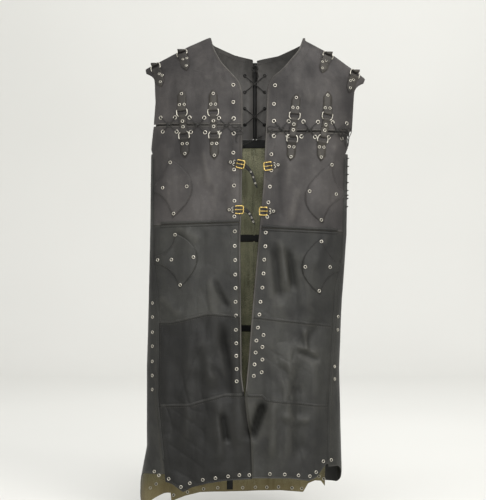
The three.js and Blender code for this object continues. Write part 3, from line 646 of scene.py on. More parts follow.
def mixed(tree, factor, first, second, blend="MIX"):
    made = add_node(tree, "ShaderNodeMix", {"data_type": "RGBA", "blend_type": blend})
    sockets = {"Factor": made.inputs[0], "A": made.inputs[6], "B": made.inputs[7]}
    for key, value in (("Factor", factor), ("A", first), ("B", second)):
        if isinstance(value, bpy.types.NodeSocket):
            tree.links.new(value, sockets[key])
        else:
            sockets[key].default_value = value if key == "Factor" else (*linear(value), 1)
    return made.outputs[2]


SCUFF_SHARE = 0.4  # how far fine scuffs alone fade the leather
FOLD_SHADE = "#0b0b0a"  # painted shade in the bottom of a fold
FOLD_SHADE_SHARE = 0.8
WAXED_SHINE, SHADED_SHINE = 0.3, 0.02  # reflection of the leather, and the weaker reflection where shade is painted into a fold


def leather(name, deep, usual, worn, rough, wear_and_highlight=0.6, grain_mm=3.2, bump=0.35):
    """Chrome-tanned cowhide, waxed and rubbed: dark in the pores, paler where it is handled, with painted
    shade in the valleys of folds and a painted highlight on their crests.

    The real grain is about 1 mm; it is drawn three times as coarse, so that it shows at the size of a coat.
    """
    material, tree, shader, place = new_finish(name, IOR=1.5, Specular_IOR_Level=WAXED_SHINE)
    cloud = add_node(tree, "ShaderNodeTexNoise", inputs={"Vector": place, "Scale": 7.0, "Detail": 6.0,
                                                         "Roughness": 0.6})
    fine = add_node(tree, "ShaderNodeTexNoise", inputs={"Vector": place, "Scale": 85.0, "Detail": 6.0,
                                                        "Roughness": 0.65})
    pores = add_node(tree, "ShaderNodeTexVoronoi", {"feature": "DISTANCE_TO_EDGE"},
                     {"Vector": place, "Scale": 1000 / grain_mm})
    stretched = scaled(tree, place, (30, 30, 9))
    creases = add_node(tree, "ShaderNodeTexNoise", {"noise_type": "RIDGED_MULTIFRACTAL"},
                       {"Vector": stretched, "Scale": 1.3, "Detail": 5.0, "Roughness": 0.55})
    streaked = scaled(tree, place, (22, 22, 4))
    streaks = add_node(tree, "ShaderNodeTexNoise", inputs={"Vector": streaked, "Scale": 1.0,
                                                           "Detail": 4.0, "Roughness": 0.5})
    # This attribute holds the wear along panel edges and the painted highlight on the crests of folds.
    rubbed_and_highlit = add_node(tree, "ShaderNodeAttribute", {"attribute_name": "wear_and_highlight"})
    valley = add_node(tree, "ShaderNodeAttribute", {"attribute_name": "valley"})
    both = arithmetic(tree, "MULTIPLY_ADD", streaks.outputs[0], 0.5, cloud.outputs[0])
    patchy = ramp(tree, both, [(0.6, 0.0), (0.92, 1.0)])
    body = mixed(tree, patchy, deep, usual)
    scuffs = ramp(tree, fine.outputs[0], [(0.5, 0.0), (0.72, 1.0)])
    scuffed = arithmetic(tree, "MULTIPLY", scuffs, patchy)
    amount = arithmetic(tree, "MULTIPLY_ADD", scuffed, SCUFF_SHARE, rubbed_and_highlit.outputs["Fac"], clamp=True)
    # Scuffs, edge wear and the painted crest highlight pale the leather towards the worn colour.
    shown = mixed(tree, arithmetic(tree, "MULTIPLY", amount, wear_and_highlight, clamp=True), body, worn)
    # Painted shade: the valleys of folds are mixed towards near black and lose most of their reflection.
    painted_shade = arithmetic(tree, "MULTIPLY", valley.outputs["Fac"], FOLD_SHADE_SHARE, clamp=True)
    tree.links.new(mixed(tree, painted_shade, shown, FOLD_SHADE), shader.inputs["Base Color"])
    matt = add_node(tree, "ShaderNodeMapRange",
                    inputs={"Value": painted_shade, "To Min": WAXED_SHINE, "To Max": SHADED_SHINE})
    tree.links.new(matt.outputs[0], shader.inputs["Specular IOR Level"])
    gloss = add_node(tree, "ShaderNodeMapRange", inputs={"Value": both, "From Min": 0.55,
                                                         "From Max": 0.95, "To Min": rough + 0.14,
                                                         "To Max": rough - 0.08})
    tree.links.new(gloss.outputs[0], shader.inputs["Roughness"])
    pebbles = arithmetic(tree, "MULTIPLY", pores.outputs["Distance"], 1.4)
    height = arithmetic(tree, "ADD", pebbles, fine.outputs[0])
    grain = add_node(tree, "ShaderNodeBump", inputs={"Height": height, "Strength": bump,
                                                     "Distance": 0.0012})
    relief = add_node(tree, "ShaderNodeBump", inputs={"Height": creases.outputs[0], "Strength": 0.5,
                                                      "Distance": 0.004, "Normal": grain.outputs[0]})
    tree.links.new(relief.outputs[0], shader.inputs["Normal"])
    return material


def suede(name, deep, usual, pale):
    """The flesh side of the hide: a short olive-brown nap with no highlight, streaked downwards."""
    material, tree, shader, place = new_finish(name, IOR=1.45, Roughness=0.93, Sheen_Weight=0.25,
                                               Sheen_Roughness=0.6)
    stretched = scaled(tree, place, (75, 75, 6))
    streaks = add_node(tree, "ShaderNodeTexNoise", inputs={"Vector": stretched, "Scale": 1.0,
                                                           "Detail": 5.0, "Roughness": 0.6})
    nap = add_node(tree, "ShaderNodeTexNoise", inputs={"Vector": place, "Scale": 420.0, "Detail": 3.0})
    cloud = add_node(tree, "ShaderNodeTexNoise", inputs={"Vector": place, "Scale": 14.0, "Detail": 3.0})
    base = mixed(tree, ramp(tree, streaks.outputs[0], [(0.36, 0.0), (0.62, 1.0)]), deep, usual)
    light = arithmetic(tree, "MULTIPLY", nap.outputs[0], cloud.outputs[0])
    napped = mixed(tree, ramp(tree, light, [(0.2, 0.0), (0.45, 0.8)]), base, pale)
    height = add_node(tree, "ShaderNodeSeparateXYZ", inputs={"Vector": place})
    # Below a height of -1.16 m the nap turns golden brown towards the hem.
    hem_tint = add_node(tree, "ShaderNodeMapRange", inputs={"Value": height.outputs["Z"], "From Min": -1.16,
                                                          "From Max": -1.24, "To Max": 0.75})
    tree.links.new(mixed(tree, hem_tint.outputs[0], napped, "#6b5d38"), shader.inputs["Base Color"])
    relief = add_node(tree, "ShaderNodeBump",
                      inputs={"Height": nap.outputs[0], "Strength": 0.5, "Distance": 0.0008})
    tree.links.new(relief.outputs[0], shader.inputs["Normal"])
    return material


def metal(name, deep, usual, rough, tarnish=0.5):
    """Plated or solid fittings: bright where rubbed, darker and rougher in a thin mottled tarnish."""
    material, tree, shader, place = new_finish(name, Metallic=1.0)
    mottle = add_node(tree, "ShaderNodeTexNoise", inputs={"Vector": place, "Scale": 260.0, "Detail": 5.0,
                                                          "Roughness": 0.6})
    spots = ramp(tree, mottle.outputs[0], [(0.38, tarnish), (0.6, 0.0)])
    tree.links.new(mixed(tree, spots, usual, deep), shader.inputs["Base Color"])
    gloss = add_node(tree, "ShaderNodeMapRange", inputs={"Value": mottle.outputs[0], "From Min": 0.3,
                                                         "From Max": 0.7, "To Min": rough + 0.15,
                                                         "To Max": rough})
    tree.links.new(gloss.outputs[0], shader.inputs["Roughness"])
    relief = add_node(tree, "ShaderNodeBump", inputs={"Height": mottle.outputs[0], "Strength": 0.12,
                                                      "Distance": 0.0004})
    tree.links.new(relief.outputs[0], shader.inputs["Normal"])
    return material


def fibre(name, deep, usual, rough, pitch_mm=2.0):
    """Waxed cord or thread: a fine slanted lay along it, dull, with paler worn strands."""
    material, tree, shader, place = new_finish(name, IOR=1.5)
    lay = add_node(tree, "ShaderNodeTexWave", {"bands_direction": "DIAGONAL"},
                   {"Vector": place, "Scale": 1000 / pitch_mm / 6, "Distortion": 2.0, "Detail": 2.0})
    worn = add_node(tree, "ShaderNodeTexNoise", inputs={"Vector": place, "Scale": 120.0, "Detail": 3.0})
    both = arithmetic(tree, "MULTIPLY", lay.outputs["Fac"], worn.outputs[0])
    tree.links.new(mixed(tree, both, deep, usual), shader.inputs["Base Color"])
    gloss = add_node(tree, "ShaderNodeMapRange", inputs={"Value": worn.outputs[0], "To Min": rough - 0.12,
                                                         "To Max": rough + 0.12})
    tree.links.new(gloss.outputs[0], shader.inputs["Roughness"])
    relief = add_node(tree, "ShaderNodeBump", inputs={"Height": lay.outputs["Fac"], "Strength": 0.5,
                                                      "Distance": 0.0005})
    tree.links.new(relief.outputs[0], shader.inputs["Normal"])
    return material


FINISHES = {}


def finish(name):
    """A finish by name, made when it is first asked for."""
    if name not in FINISHES:
        FINISHES[name] = MAKERS[name]()
    return FINISHES[name]


def look():
    return bpy.context.scene.coat_look


MAKERS = {
    # Waxed cowhide of the yokes and chest: charcoal with a little warmth, faded by handling.
    "waxed_cowhide": lambda: leather("waxed_cowhide", look().upper_deep, look().upper_usual, "#5c5854", 0.5,
                                     0.55),
    # Softer hide of the long skirt panels: darker, and smoother where it drapes.
    "garment_cowhide": lambda: leather("garment_cowhide", look().skirt_deep, look().skirt_usual, "#474640",
                                       0.44,
                                       0.5),
    # The same hide made darker as painted shade, on the right skirt: nearly black.
    "shaded_cowhide": lambda: leather("shaded_cowhide", "#080807", "#121210", "#2b2a26", 0.46, 0.4),
    # Bridle leather of the straps: dense, with burnished edges.
    "bridle_strap": lambda: leather("bridle_strap", "#242220", "#36332f", "#6a6454", 0.46, 0.6, 2.4, 0.25),
    # The thin straps of the buckles: hard black leather.
    "black_strap": lambda: leather("black_strap", "#0b0b0a", "#171613", "#3d3a33", 0.5, 0.4, 2.4, 0.25),
    # Folded edges of the fronts, rubbed pale by wear, and made paler still as a painted highlight along the
    # roll.
    "rubbed_edge_highlight": lambda: leather("rubbed_edge_highlight", "#33312f", "#524f4b", "#7c7770", 0.5, 0.7),
    # Cut edge of the hide: raw fibre, dyed black and rubbed back to grey.
    "cut_edge": lambda: leather("cut_edge", "#1d1c1a", "#33312c", "#5b574c", 0.7, 0.4, 2.0, 0.5),
    "olive_suede": lambda: suede("olive_suede", "#4d4e3b", "#7c7c62", "#aeac8e"),
    # Facing inside the neck: the same cowhide turned in.
    "neck_facing": lambda: leather("neck_facing", "#363534", "#585654", "#76736f", 0.6, 0.4),
    # Black tape along the inner seams and behind the slit.
    "black_facing": lambda: leather("black_facing", "#0c0c0c", "#181817", "#33322f", 0.65, 0.4),
    "nickel_plate": lambda: metal("nickel_plate", "#5d594e", "#c4c0b5", 0.24),
    "antique_brass": lambda: metal("antique_brass", "#4f3d1b", "#bfa766", 0.22, 0.8),
    "waxed_lace": lambda: fibre("waxed_lace", "#121110", "#2c2a25", 0.62),
    "linen_thread": lambda: fibre("linen_thread", "#1c1b19", "#4a463d", 0.75, 1.2),
    # Unlit inside of an eyelet's barrel.
    "barrel_shadow": lambda: fibre("barrel_shadow", "#050505", "#0e0d0c", 0.9),
}


# ---- The leather panels ----


def armhole_angle(side, z):
    """How far the armhole reaches round from the side, as an angle; 0 above and below it."""
    tip = (RIGHT_SIDE if side == "right" else LEFT_SIDE)[2][0]
    top, bottom = tip - ARMHOLE["inset"], ARMHOLE["bottom"]
    middle, half = (top + bottom) / 2, (top - bottom) / 2
    z = np.asarray(z, float)
    reach = ARMHOLE["half_width"] * np.sqrt(np.clip(1 - ((z - middle) / half) ** 2, 0, 1))
    angle = np.full(z.shape, 0.2)
    for _ in range(8):
        x = section(math.pi - angle if side == "right" else angle, z)[..., 0]
        drop = np.clip((shoulder_height(x) - z) / YOKE_DROP, 0.02, 1)
        crown = 1 - (1 - drop) ** 2
        sine = np.clip(reach / (BODY_DEPTH / 2 * crown), 0, 0.97) ** 1.5
        angle = (angle + np.arcsin(sine)) / 2
    return np.where(reach > 0, angle, 0)


def outer_angle(side, z, back, line=None):
    """The angle of a panel's outer limit at a height: ridge, armhole or side seam."""
    reach = armhole_angle(side, z)
    if line is not None:
        sign = -1 if side == "right" else 1
        limit = interpolate([(pz, px) for px, pz in [(sign * 400, 60), *line]], z)
        at = np.abs(angle_at(limit, z))
        reach = np.maximum(reach, math.pi - at if side == "right" else at)
    angle = math.pi - reach if side == "right" else reach
    return angle if back else -angle


def inner_angle(side, z, back):
    """The angle of a panel's inner limit at a height: front edge, neck or back slit."""
    if not back:
        return angle_at(interpolate([(pz, px) for px, pz in FRONT_EDGE[side]], z), z)
    half = [(pz, px) for px, pz in BACK_NECK if (px <= 0 if side == "right" else px >= 0)]
    neck = interpolate(half, z)
    sign = -1 if side == "right" else 1
    edge = SLIT["x"] + sign * SLIT["width"] / 2
    limit = np.minimum(neck, edge) if side == "right" else np.maximum(neck, edge)
    return angle_at(limit, z, True)


def panel_grid(start, end, top, bottom, rows, columns):
    """Angles and heights of a grid between two side limits, functions of height, and two cross limits,
    functions of x and y."""
    u = np.linspace(0, 1, columns)[None, :]
    v = np.linspace(0, 1, rows)[:, None]
    z = np.full((rows, columns), -600.0)
    for _ in range(8):
        angle = start(z) + (end(z) - start(z)) * u
        place = section(angle, z)
        high, low = top(place[..., 0], place[..., 1]), bottom(place[..., 0], place[..., 1])
        z = high + (low - high) * v
    return start(z) + (end(z) - start(z)) * u, z


def wear_highlight_and_shade(fold, rows, columns):
    """How rubbed the leather is along its edges, the painted highlight on the crests of folds, and the
    painted shade in their valleys.
    """
    edge = np.zeros((rows, columns))
    for k, amount in ((0, 1.0), (1, 0.3)):
        edge[k, :] = np.maximum(edge[k, :], amount)
        edge[-1 - k, :] = np.maximum(edge[-1 - k, :], amount)
        edge[:, k] = np.maximum(edge[:, k], amount)
        edge[:, -1 - k] = np.maximum(edge[:, -1 - k], amount)
    blurred = fold.copy()
    for _ in range(14):
        padded = np.pad(blurred, 1, mode="edge")
        blurred = (padded[:-2, 1:-1] + padded[2:, 1:-1] + padded[1:-1, :-2] + padded[1:-1, 2:]) / 4
    # Crests get a painted highlight and valleys painted shade.
    crest_highlight = np.clip((fold - blurred) * 0.5 - 0.1, 0, 0.35)
    valley = np.clip((blurred - fold) * 0.12 - 0.08, 0, 1) + np.clip(-fold / 16 - 0.15, 0, 1)
    return np.clip(edge * 0.6 + crest_highlight, 0, 1), np.clip(valley, 0, 1)


def leather_panel(node, angle, z, outside, slot, inside="olive_suede"):
    """A hanging panel: its outer face, its inner face and the cut edge between them."""
    rows, columns = angle.shape
    place = section(angle, z)
    fold = folds(place[..., 0], z, bool(np.mean(np.sin(angle)) > 0))
    lift = np.full(angle.shape, LEATHER)
    lift[[0, -1], :] -= 0.5
    lift[:, [0, -1]] -= 0.5
    outer = coat_points(angle, z, lift).reshape(-1, 3)
    inner = coat_points(angle, z, np.zeros(angle.shape)).reshape(-1, 3)
    count = rows * columns
    quads = grid_faces(rows, columns)
    if float(angle[0, -1] - angle[0, 0]) + float(angle[-1, -1] - angle[-1, 0]) < 0:
        quads = [face[::-1] for face in quads]
    border = ([(0, c) for c in range(columns)] + [(r, columns - 1) for r in range(1, rows)]
              + [(rows - 1, c) for c in range(columns - 2, -1, -1)]
              + [(r, 0) for r in range(rows - 2, 0, -1)])
    ring = [r * columns + c for r, c in border]
    around = list(zip(ring, ring[1:] + ring[:1]))
    rim = [(a, b, b + count, a + count) for a, b in around]
    if float(angle[0, -1] - angle[0, 0]) + float(angle[-1, -1] - angle[-1, 0]) > 0:
        rim = [face[::-1] for face in rim]
    faces = quads + [tuple(i + count for i in reversed(face)) for face in quads] + rim
    slots = [0] * len(quads) + [1] * len(quads) + [2] * len(rim)
    # Per point: edge wear with the painted crest highlight, and the painted shade of the valleys.
    wear_and_highlight, valley = (part.ravel() for part in wear_highlight_and_shade(fold, rows, columns))
    piece = make_piece(f"{node}_leather", np.vstack([outer, inner]), faces,
                       [finish(outside), finish(inside), finish("cut_edge")], slots,
                       attributes={"wear_and_highlight": np.concatenate([wear_and_highlight, wear_and_highlight * 0.3]),
                                   "valley": np.concatenate([valley, valley * 0])})
    stand_for(piece, "coat", slot, node)
    wide = np.linalg.norm(np.diff(outer.reshape(rows, columns, 3), axis=1), axis=-1).sum(1)
    tall = np.linalg.norm(np.diff(outer.reshape(rows, columns, 3), axis=0), axis=-1).sum(0)
    flat = (float(wide.max()) * MM, float(tall.max()) * MM)
    area = float(np.mean(wide)) * MM * float(np.mean(tall)) * MM
    area = min(max(area, 0.31 * flat[0] * flat[1]), flat[0] * flat[1])
    return piece


def across_seam(seam, shift=0.0):
    return lambda x, y: interpolate([(px, pz + shift) for px, pz in seam], x)


def level(z):
    return lambda x, y: z + 0 * x


def front_panels(side):
    seam = SEAMS[side]
    half = LAYER_GAP / 2
    bare = (lambda z: outer_angle(side, z, False))
    sewn = (lambda z: outer_angle(side, z, False, seam["side"]))
    inner = (lambda z: inner_angle(side, z, False))
    # The right skirt takes the darker copy of the hide, as painted shade.
    skirt = "shaded_cowhide" if side == "right" else "garment_cowhide"
    parts = [
        ("front_yoke", bare, level(0), across_seam(seam["yoke"]), "waxed_cowhide", "upper_leather", 250, 3.2),
        ("chest_panel", sewn, across_seam(seam["yoke"], -LACED_GAP), across_seam(seam["waist"], half),
         "waxed_cowhide", "upper_leather", 270, 3.6),
        ("hip_panel", sewn, across_seam(seam["waist"], -half), across_seam(seam["hip"], half),
         "garment_cowhide", "skirt_leather", 260, 3.8),
        ("skirt_panel", sewn, across_seam(seam["hip"], -half), across_seam(seam["knee"], half),
         skirt, "skirt_leather", 230, 3.8),
        ("hem_panel", sewn, across_seam(seam["knee"], -half), across_seam(seam["hem"]),
         skirt, "skirt_leather", 220, 3.8),
    ]
    for name, outer, top, bottom, outside, slot, tall, step in parts:
        angle, z = panel_grid(outer, inner, top, bottom, int(tall / step), int(290 / step))
        leather_panel(f"{side}_{name}", angle, z, outside, slot)


def side_panel(side):
    line = SEAMS[side]["side"]

    def front(z):
        return angle_at(interpolate([(pz, px) for px, pz in line], z), z)

    def behind(z):
        turned = -front(z)
        return turned - 2 * math.pi if side == "right" else turned

    hem = SIDE_HEMS[side]
    angle, z = panel_grid(front, behind, level(line[0][1]), lambda x, y: interpolate(hem, y), 230, 36)
    leather_panel(f"{side}_side_panel", angle, z, "garment_cowhide", "skirt_leather",
                  "olive_suede" if side == "right" else "garment_cowhide")


def back_panels():
    for side in ("right", "left"):
        angle, z = panel_grid(lambda z: outer_angle(side, z, True), lambda z: inner_angle(side, z, True),
                              level(0), level(BACK_YOKE_HEM), 85, 84)
        leather_panel(f"{side}_back_yoke", angle, z, "waxed_cowhide", "upper_leather", "neck_facing")
    angle, z = panel_grid(lambda z: outer_angle("right", z, True, SEAMS["right"]["side"]),
                          lambda z: outer_angle("left", z, True, SEAMS["left"]["side"]),
                          level(BACK_YOKE_HEM - LAYER_GAP), lambda x, y: interpolate(BACK_HEM, x), 240, 140)
    leather_panel("back_body", angle, z, "garment_cowhide", "skirt_leather")


# ---- Patches, tabs and straps on the leather ----
def leaf_outline(points):
    """The leaf: two tips joined by a full belly, with hollows either side of its stem."""
    top, belly, bottom, lower, foot, head, upper = [np.array(p, float) for p in points]
    pull = 2 * belly - (top + bottom) / 2

    def curve(a, control, b, count):
        t = np.linspace(0, 1, count, endpoint=False)[:, None]
        return (1 - t) ** 2 * a + 2 * t * (1 - t) * control + t * t * b

    return np.vstack([curve(top, pull, bottom, 26), curve(bottom, lower, foot, 14),
                      even_steps([foot, head], 6)[:-1], curve(head, upper, top, 14)])


def resting(lift, back=False):
    """Turns front-view places and thicknesses into points that lie on the coat."""
    return lambda x, z, up: on_coat(x, z, lift + up, back)


def inset(outline, distance):
    """A closed outline moved inwards."""
    line = np.asarray(outline, float)
    ahead = np.roll(line, -1, 0) - np.roll(line, 1, 0)
    ahead /= np.maximum(np.linalg.norm(ahead, axis=1, keepdims=True), 1e-9)
    moved = line + np.stack([-ahead[:, 1], ahead[:, 0]], -1) * distance
    if area_of(moved) > area_of(line):
        moved = line - np.stack([-ahead[:, 1], ahead[:, 0]], -1) * distance
    return np.vstack([moved, moved[:1]])


def area_of(line):
    return abs(np.sum(line[:, 0] * np.roll(line[:, 1], -1) - np.roll(line[:, 0], -1) * line[:, 1])) / 2


def leaf_patches():
    for name, points in PATCHES.items():
        outline = leaf_outline(points)
        made = Gathered()
        made.add(*flat_shape(outline, 5, resting(LAYER_GAP), STRAP))
        made.slots = [0] * len(made.faces)
        hide = "waxed_cowhide" if "upper" in name else "garment_cowhide"
        piece = made.piece(f"{name}_leaf_patch", [finish(hide)])
        stand_for(piece, "coat", "strap_leather", f"{name}_patch")
        thread = Gathered()
        stitches(thread, inset(outline, 3.6), lift=LAYER_GAP + STRAP, pitch=5.4, length=3.6, width=0.8)
        stand_for(thread.piece(f"{name}_patch_thread", [finish("linen_thread")]), "coat", "lace")


def placed(local, axes):
    """Points in a fitting's own axes, as points of the coat."""
    origin, x, y, z = axes
    local = np.asarray(local, float)
    return origin + local[..., :1] * x + local[..., 1:2] * y + local[..., 2:3] * z


def joint(name):
    return next(j for j in frame["joints"] if j["name"] == name)


def thin_direction(node):
    """The direction across a flat CAD node, pointing away from the coat."""
    points = np.array([v.co for v in frame["nodes"][node].data.vertices], float)
    points = points - points.mean(0)
    direction = np.linalg.svd(points, full_matrices=False)[2][2]
    return direction if direction[1] < 0 else -direction


def ring_axes(name):
    """A ring's bar centre, its axis along the bar, the way to its tab, and outward."""
    swing = joint(f"{name}_swing")
    x = -np.array(swing["axis"], float)
    x /= np.linalg.norm(x)
    z = thin_direction(name)
    z = z - x * z.dot(x)
    z /= np.linalg.norm(z)
    return np.array(swing["pos_m"]) / MM, x, np.cross(z, x), z


def ring_path(count=10):
    """The middle of a D-ring's wire: a straight bar and a deep D below it."""
    half, shoulder, foot = RING_WIDTH / 2, 2.5, 9.0
    t = np.linspace(0, math.pi / 2, count)
    corner = [(half - shoulder * (1 - np.sin(a)), -shoulder * (1 - np.cos(a))) for a in t]
    right_foot = [(half - foot + foot * np.cos(a), foot - RING_HEIGHT - foot * np.sin(a)) for a in t]
    left_foot = [(-x, y) for x, y in reversed(right_foot)]
    left_corner = [(-x, y) for x, y in reversed(corner)]
    bar = [(x, 0) for x in np.linspace(-half + shoulder, half - shoulder, 8)[1:-1]]
    flat = bar + corner + right_foot + left_foot + left_corner
    kept = [flat[0]]
    for point in flat[1:]:
        if math.dist(point, kept[-1]) > 0.2:
            kept.append(point)
    return np.array([(x, y, 0) for x, y in kept])


def rings():
    names = [f"{place}_{kind}_ring" for place in SUSPENDERS for kind in ("upper", "lower", "shoulder")]
    for name in names:
        axes = ring_axes(name)
        made = Gathered()
        tube(made, placed(ring_path(), axes), WIRE / 2, sides=14, closed=True)
        stand_for(made.piece(f"{name}_wire", [finish("nickel_plate")]), name, "ring_steel", name)


def leather_band(gathered, path, width, thickness, axes, slot=0, taper=None):
    """A strap of leather along a path in its own (up, out) plane, with eased edges."""
    path = np.asarray(path, float)
    ahead = np.gradient(path, axis=0)
    ahead /= np.maximum(np.linalg.norm(ahead, axis=1, keepdims=True), 1e-9)
    out = np.stack([-ahead[:, 1], ahead[:, 0]], -1)
    half = thickness / 2
    profile = [(-0.5, -half * 0.5), (-0.5, half * 0.5), (-0.46, half * 0.9), (-0.3, half), (0, half * 1.02),
               (0.3, half), (0.46, half * 0.9), (0.5, half * 0.5), (0.5, -half * 0.5), (0.46, -half * 0.9),
               (0.3, -half), (-0.3, -half), (-0.46, -half * 0.9)]
    widths = np.broadcast_to(width if taper is None else width * np.asarray(taper), len(path))
    rows = []
    for (y, z), normal, across in zip(path, out, widths):
        rows.append([(side * across, y + normal[0] * up, z + normal[1] * up) for side, up in profile])
    count = len(profile)
    faces = grid_faces(len(path), count, closed=True)
    faces.append(list(range(count)))
    faces.append([(len(path) - 1) * count + i for i in reversed(range(count))])
    gathered.add(placed(np.array(rows), axes), faces, slot)


def tab_outline(bar, point, width):
    """Front-view outline of a pointed tab, from a little short of its ring's bar to its point."""
    root, tip = np.array(bar, float), np.array(point, float)
    ahead = (tip - root) / np.linalg.norm(tip - root)
    aside = np.array([-ahead[1], ahead[0]])
    length = np.linalg.norm(tip - root)
    half = width / 2
    rough = [(-half, 5), (half, 5), (half, length - TAB_POINT), (half * 0.64, length - TAB_POINT * 0.55),
             (1.0, length - 0.3), (-1.0, length - 0.3), (-half * 0.64, length - TAB_POINT * 0.55),
             (-half, length - TAB_POINT)]
    closed = np.array([root + aside * x + ahead * y for x, y in [*rough, rough[0]]])
    return even_steps(closed, 2.2)[:-1], ahead, aside


def tabs():
    places = {}
    for name, (upper_point, upper_bar, lower_bar, lower_point) in SUSPENDERS.items():
        places[f"{name}_upper"] = (upper_bar, upper_point)
        places[f"{name}_lower"] = (lower_bar, lower_point)
    for name, (bar, point) in SHOULDER_TABS.items():
        places[f"{name}_shoulder"] = (bar, point)
    loop = [(15, -3.0), (11, -2.6), (7.5, -1.1), (4.6, 1.1), (2.4, 2.45), (0, 3.1), (-2.1, 2.3), (-3.1, 0),
            (-2.2, -2.2), (0, -3.1), (3, -3.5), (7, -3.6)]
    for name, (bar, point) in places.items():
        outline, ahead, aside = tab_outline(bar, point, STRAP_WIDTH)
        made = Gathered()
        made.add(*flat_shape(outline, 5, resting(LAYER_GAP), STRAP))
        axes = ring_axes(f"{name}_ring")
        sunk = 1.2 if "shoulder" in name else 0
        path = [(y, z - sunk * min(max(y, 0) / 12, 1)) for y, z in loop]
        leather_band(made, smooth_path(path, 3), STRAP_WIDTH, 1.9, axes)
        stand_for(made.piece(f"{name}_pointed_tab", [finish("bridle_strap")]), "coat", "strap_leather",
                  f"{name}_tab")
        edge = inset(outline, 2.6)
        thread = Gathered()
        start = int(np.argmin((edge[:-1] - bar) @ ahead + 0.01 * ((edge[:-1] - bar) @ aside)))
        rolled = np.roll(edge[:-1], -start, 0)
        stitches(thread, rolled, lift=LAYER_GAP + STRAP, pitch=4.6, length=3.0, width=0.7)
        stand_for(thread.piece(f"{name}_tab_thread", [finish("linen_thread")]), "coat", "lace")


def links():
    for name in SUSPENDERS:
        upper, lower = ring_axes(f"{name}_upper_ring"), ring_axes(f"{name}_lower_ring")
        span = np.linalg.norm(upper[0] - lower[0])
        reach = span / 2 - RING_HEIGHT + 0.95
        half = [(0, 1.25), (reach - 7, 1.5), (reach - 3.4, 2.7), (reach, 3.15), (reach + 3.2, 2.5),
                (reach + 4.7, 0)]
        path = half + [(y, -z) for y, z in reversed(half[:-1])]
        path += [(-y, -z) for y, z in half[1:]] + [(-y, z) for y, z in reversed(half[1:-1])] + half[:1]
        middle = ((upper[0] + lower[0]) / 2, *upper[1:])
        made = Gathered()
        leather_band(made, smooth_path(path, 3), LINK_WIDTH, 1.8, middle)
        metal_part = Gathered()
        for sign in (-1, 1):
            eyelet(metal_part, placed([0, sign * 7.5, 2.3], middle), middle[3], 4.6)
        thread = Gathered()
        for side in (-1, 1):
            for y in np.arange(-8, 8.1, 4):
                ends = [placed([side * 6.8, y + d, h], middle) for d,
                        h in ((0, 2.4), (-1.5, 2.1), (1.5, 2.1))]
                stitch(thread, *ends, middle[3], 0.7)
        body = f"{name}_link"
        stand_for(made.piece(f"{body}_strap", [finish("bridle_strap")]), body, "strap_leather", body)
        plated_eyelets(metal_part, f"{body}_eyelets", body)
        stand_for(thread.piece(f"{body}_thread", [finish("linen_thread")]), body, "lace")


def shoulder_straps():
    """From each shoulder ring a strap runs up over the ridge and down the back yoke."""
    for name in SHOULDER_TABS:
        axes = ring_axes(f"{name}_shoulder_ring")
        foot = placed([0, -RING_HEIGHT, 0], axes)
        x = foot[0]
        ridge = float(shoulder_height(np.array(x)))
        made = Gathered()
        lean = 0.55 if "outer" in name else 0.1
        heights = np.linspace(ridge - 12, ridge - (44 if "outer" in name else 80), 10)
        down_back = [on_coat(np.array([x - np.sign(x) * (4 + lean * (ridge - 12 - z))]), np.array([z]), 1.4,
                             True)[0]
                     for z in heights]
        near = placed([0, -RING_HEIGHT + 1.6, 3.0], axes)
        over = [placed([0, -RING_HEIGHT + 4.5, -1.0], axes), placed([0, -RING_HEIGHT + 3.6, 2.0], axes), near,
                placed([0, -RING_HEIGHT - 2.2, 2.6], axes)]
        top = np.array([x - np.sign(x) * 2, 2.0, ridge + 3.2])
        path = smooth_path(np.vstack([over, [(over[-1] + top) / 2 + [0, 0, 1.2]], [top], down_back]), 4)
        half = (STRAP_WIDTH - 5) / 2
        rows = []
        for k, point in enumerate(path):
            ahead = path[min(k + 1, len(path) - 1)] - path[max(k - 1, 0)]
            ahead /= np.linalg.norm(ahead)
            side = axes[1] if k < 8 else np.array([1.0, 0, 0]) * np.sign(axes[1][0])
            side = side - ahead * side.dot(ahead)
            side /= np.linalg.norm(side)
            up = np.cross(side, ahead)
            taper = min(1.0, (len(path) - 1 - k) / 6 + 0.15)
            rows.append([point + side * half * a * taper + up * b for a, b in
                         [(-1, -0.6), (-1, 0.6), (-0.8, 1.0), (0, 1.1), (0.8, 1.0), (1, 0.6), (1, -0.6),
                          (0, -1.0)]])
        faces = grid_faces(len(path), 8, closed=True) + [list(range(8)),
                                                        [(len(path) - 1) * 8 + i for i in reversed(range(8))]]
        made.add(np.array(rows), faces)
        stand_for(made.piece(f"{name}_shoulder_strap", [finish("bridle_strap")]), "coat", "strap_leather")


# ---- Buckles ----
def buckle_axes(name):
    """A buckle's hinge bar: x to its far bar, y up the bar, z away from the coat."""
    swing = joint(f"{name}_buckle_swing")
    y = -np.array(swing["axis"], float)
    y /= np.linalg.norm(y)
    z = thin_direction(f"{name}_buckle")
    z = z - y * z.dot(y)
    z /= np.linalg.norm(z)
    return np.array(swing["pos_m"]) / MM, np.cross(y, z), y, z


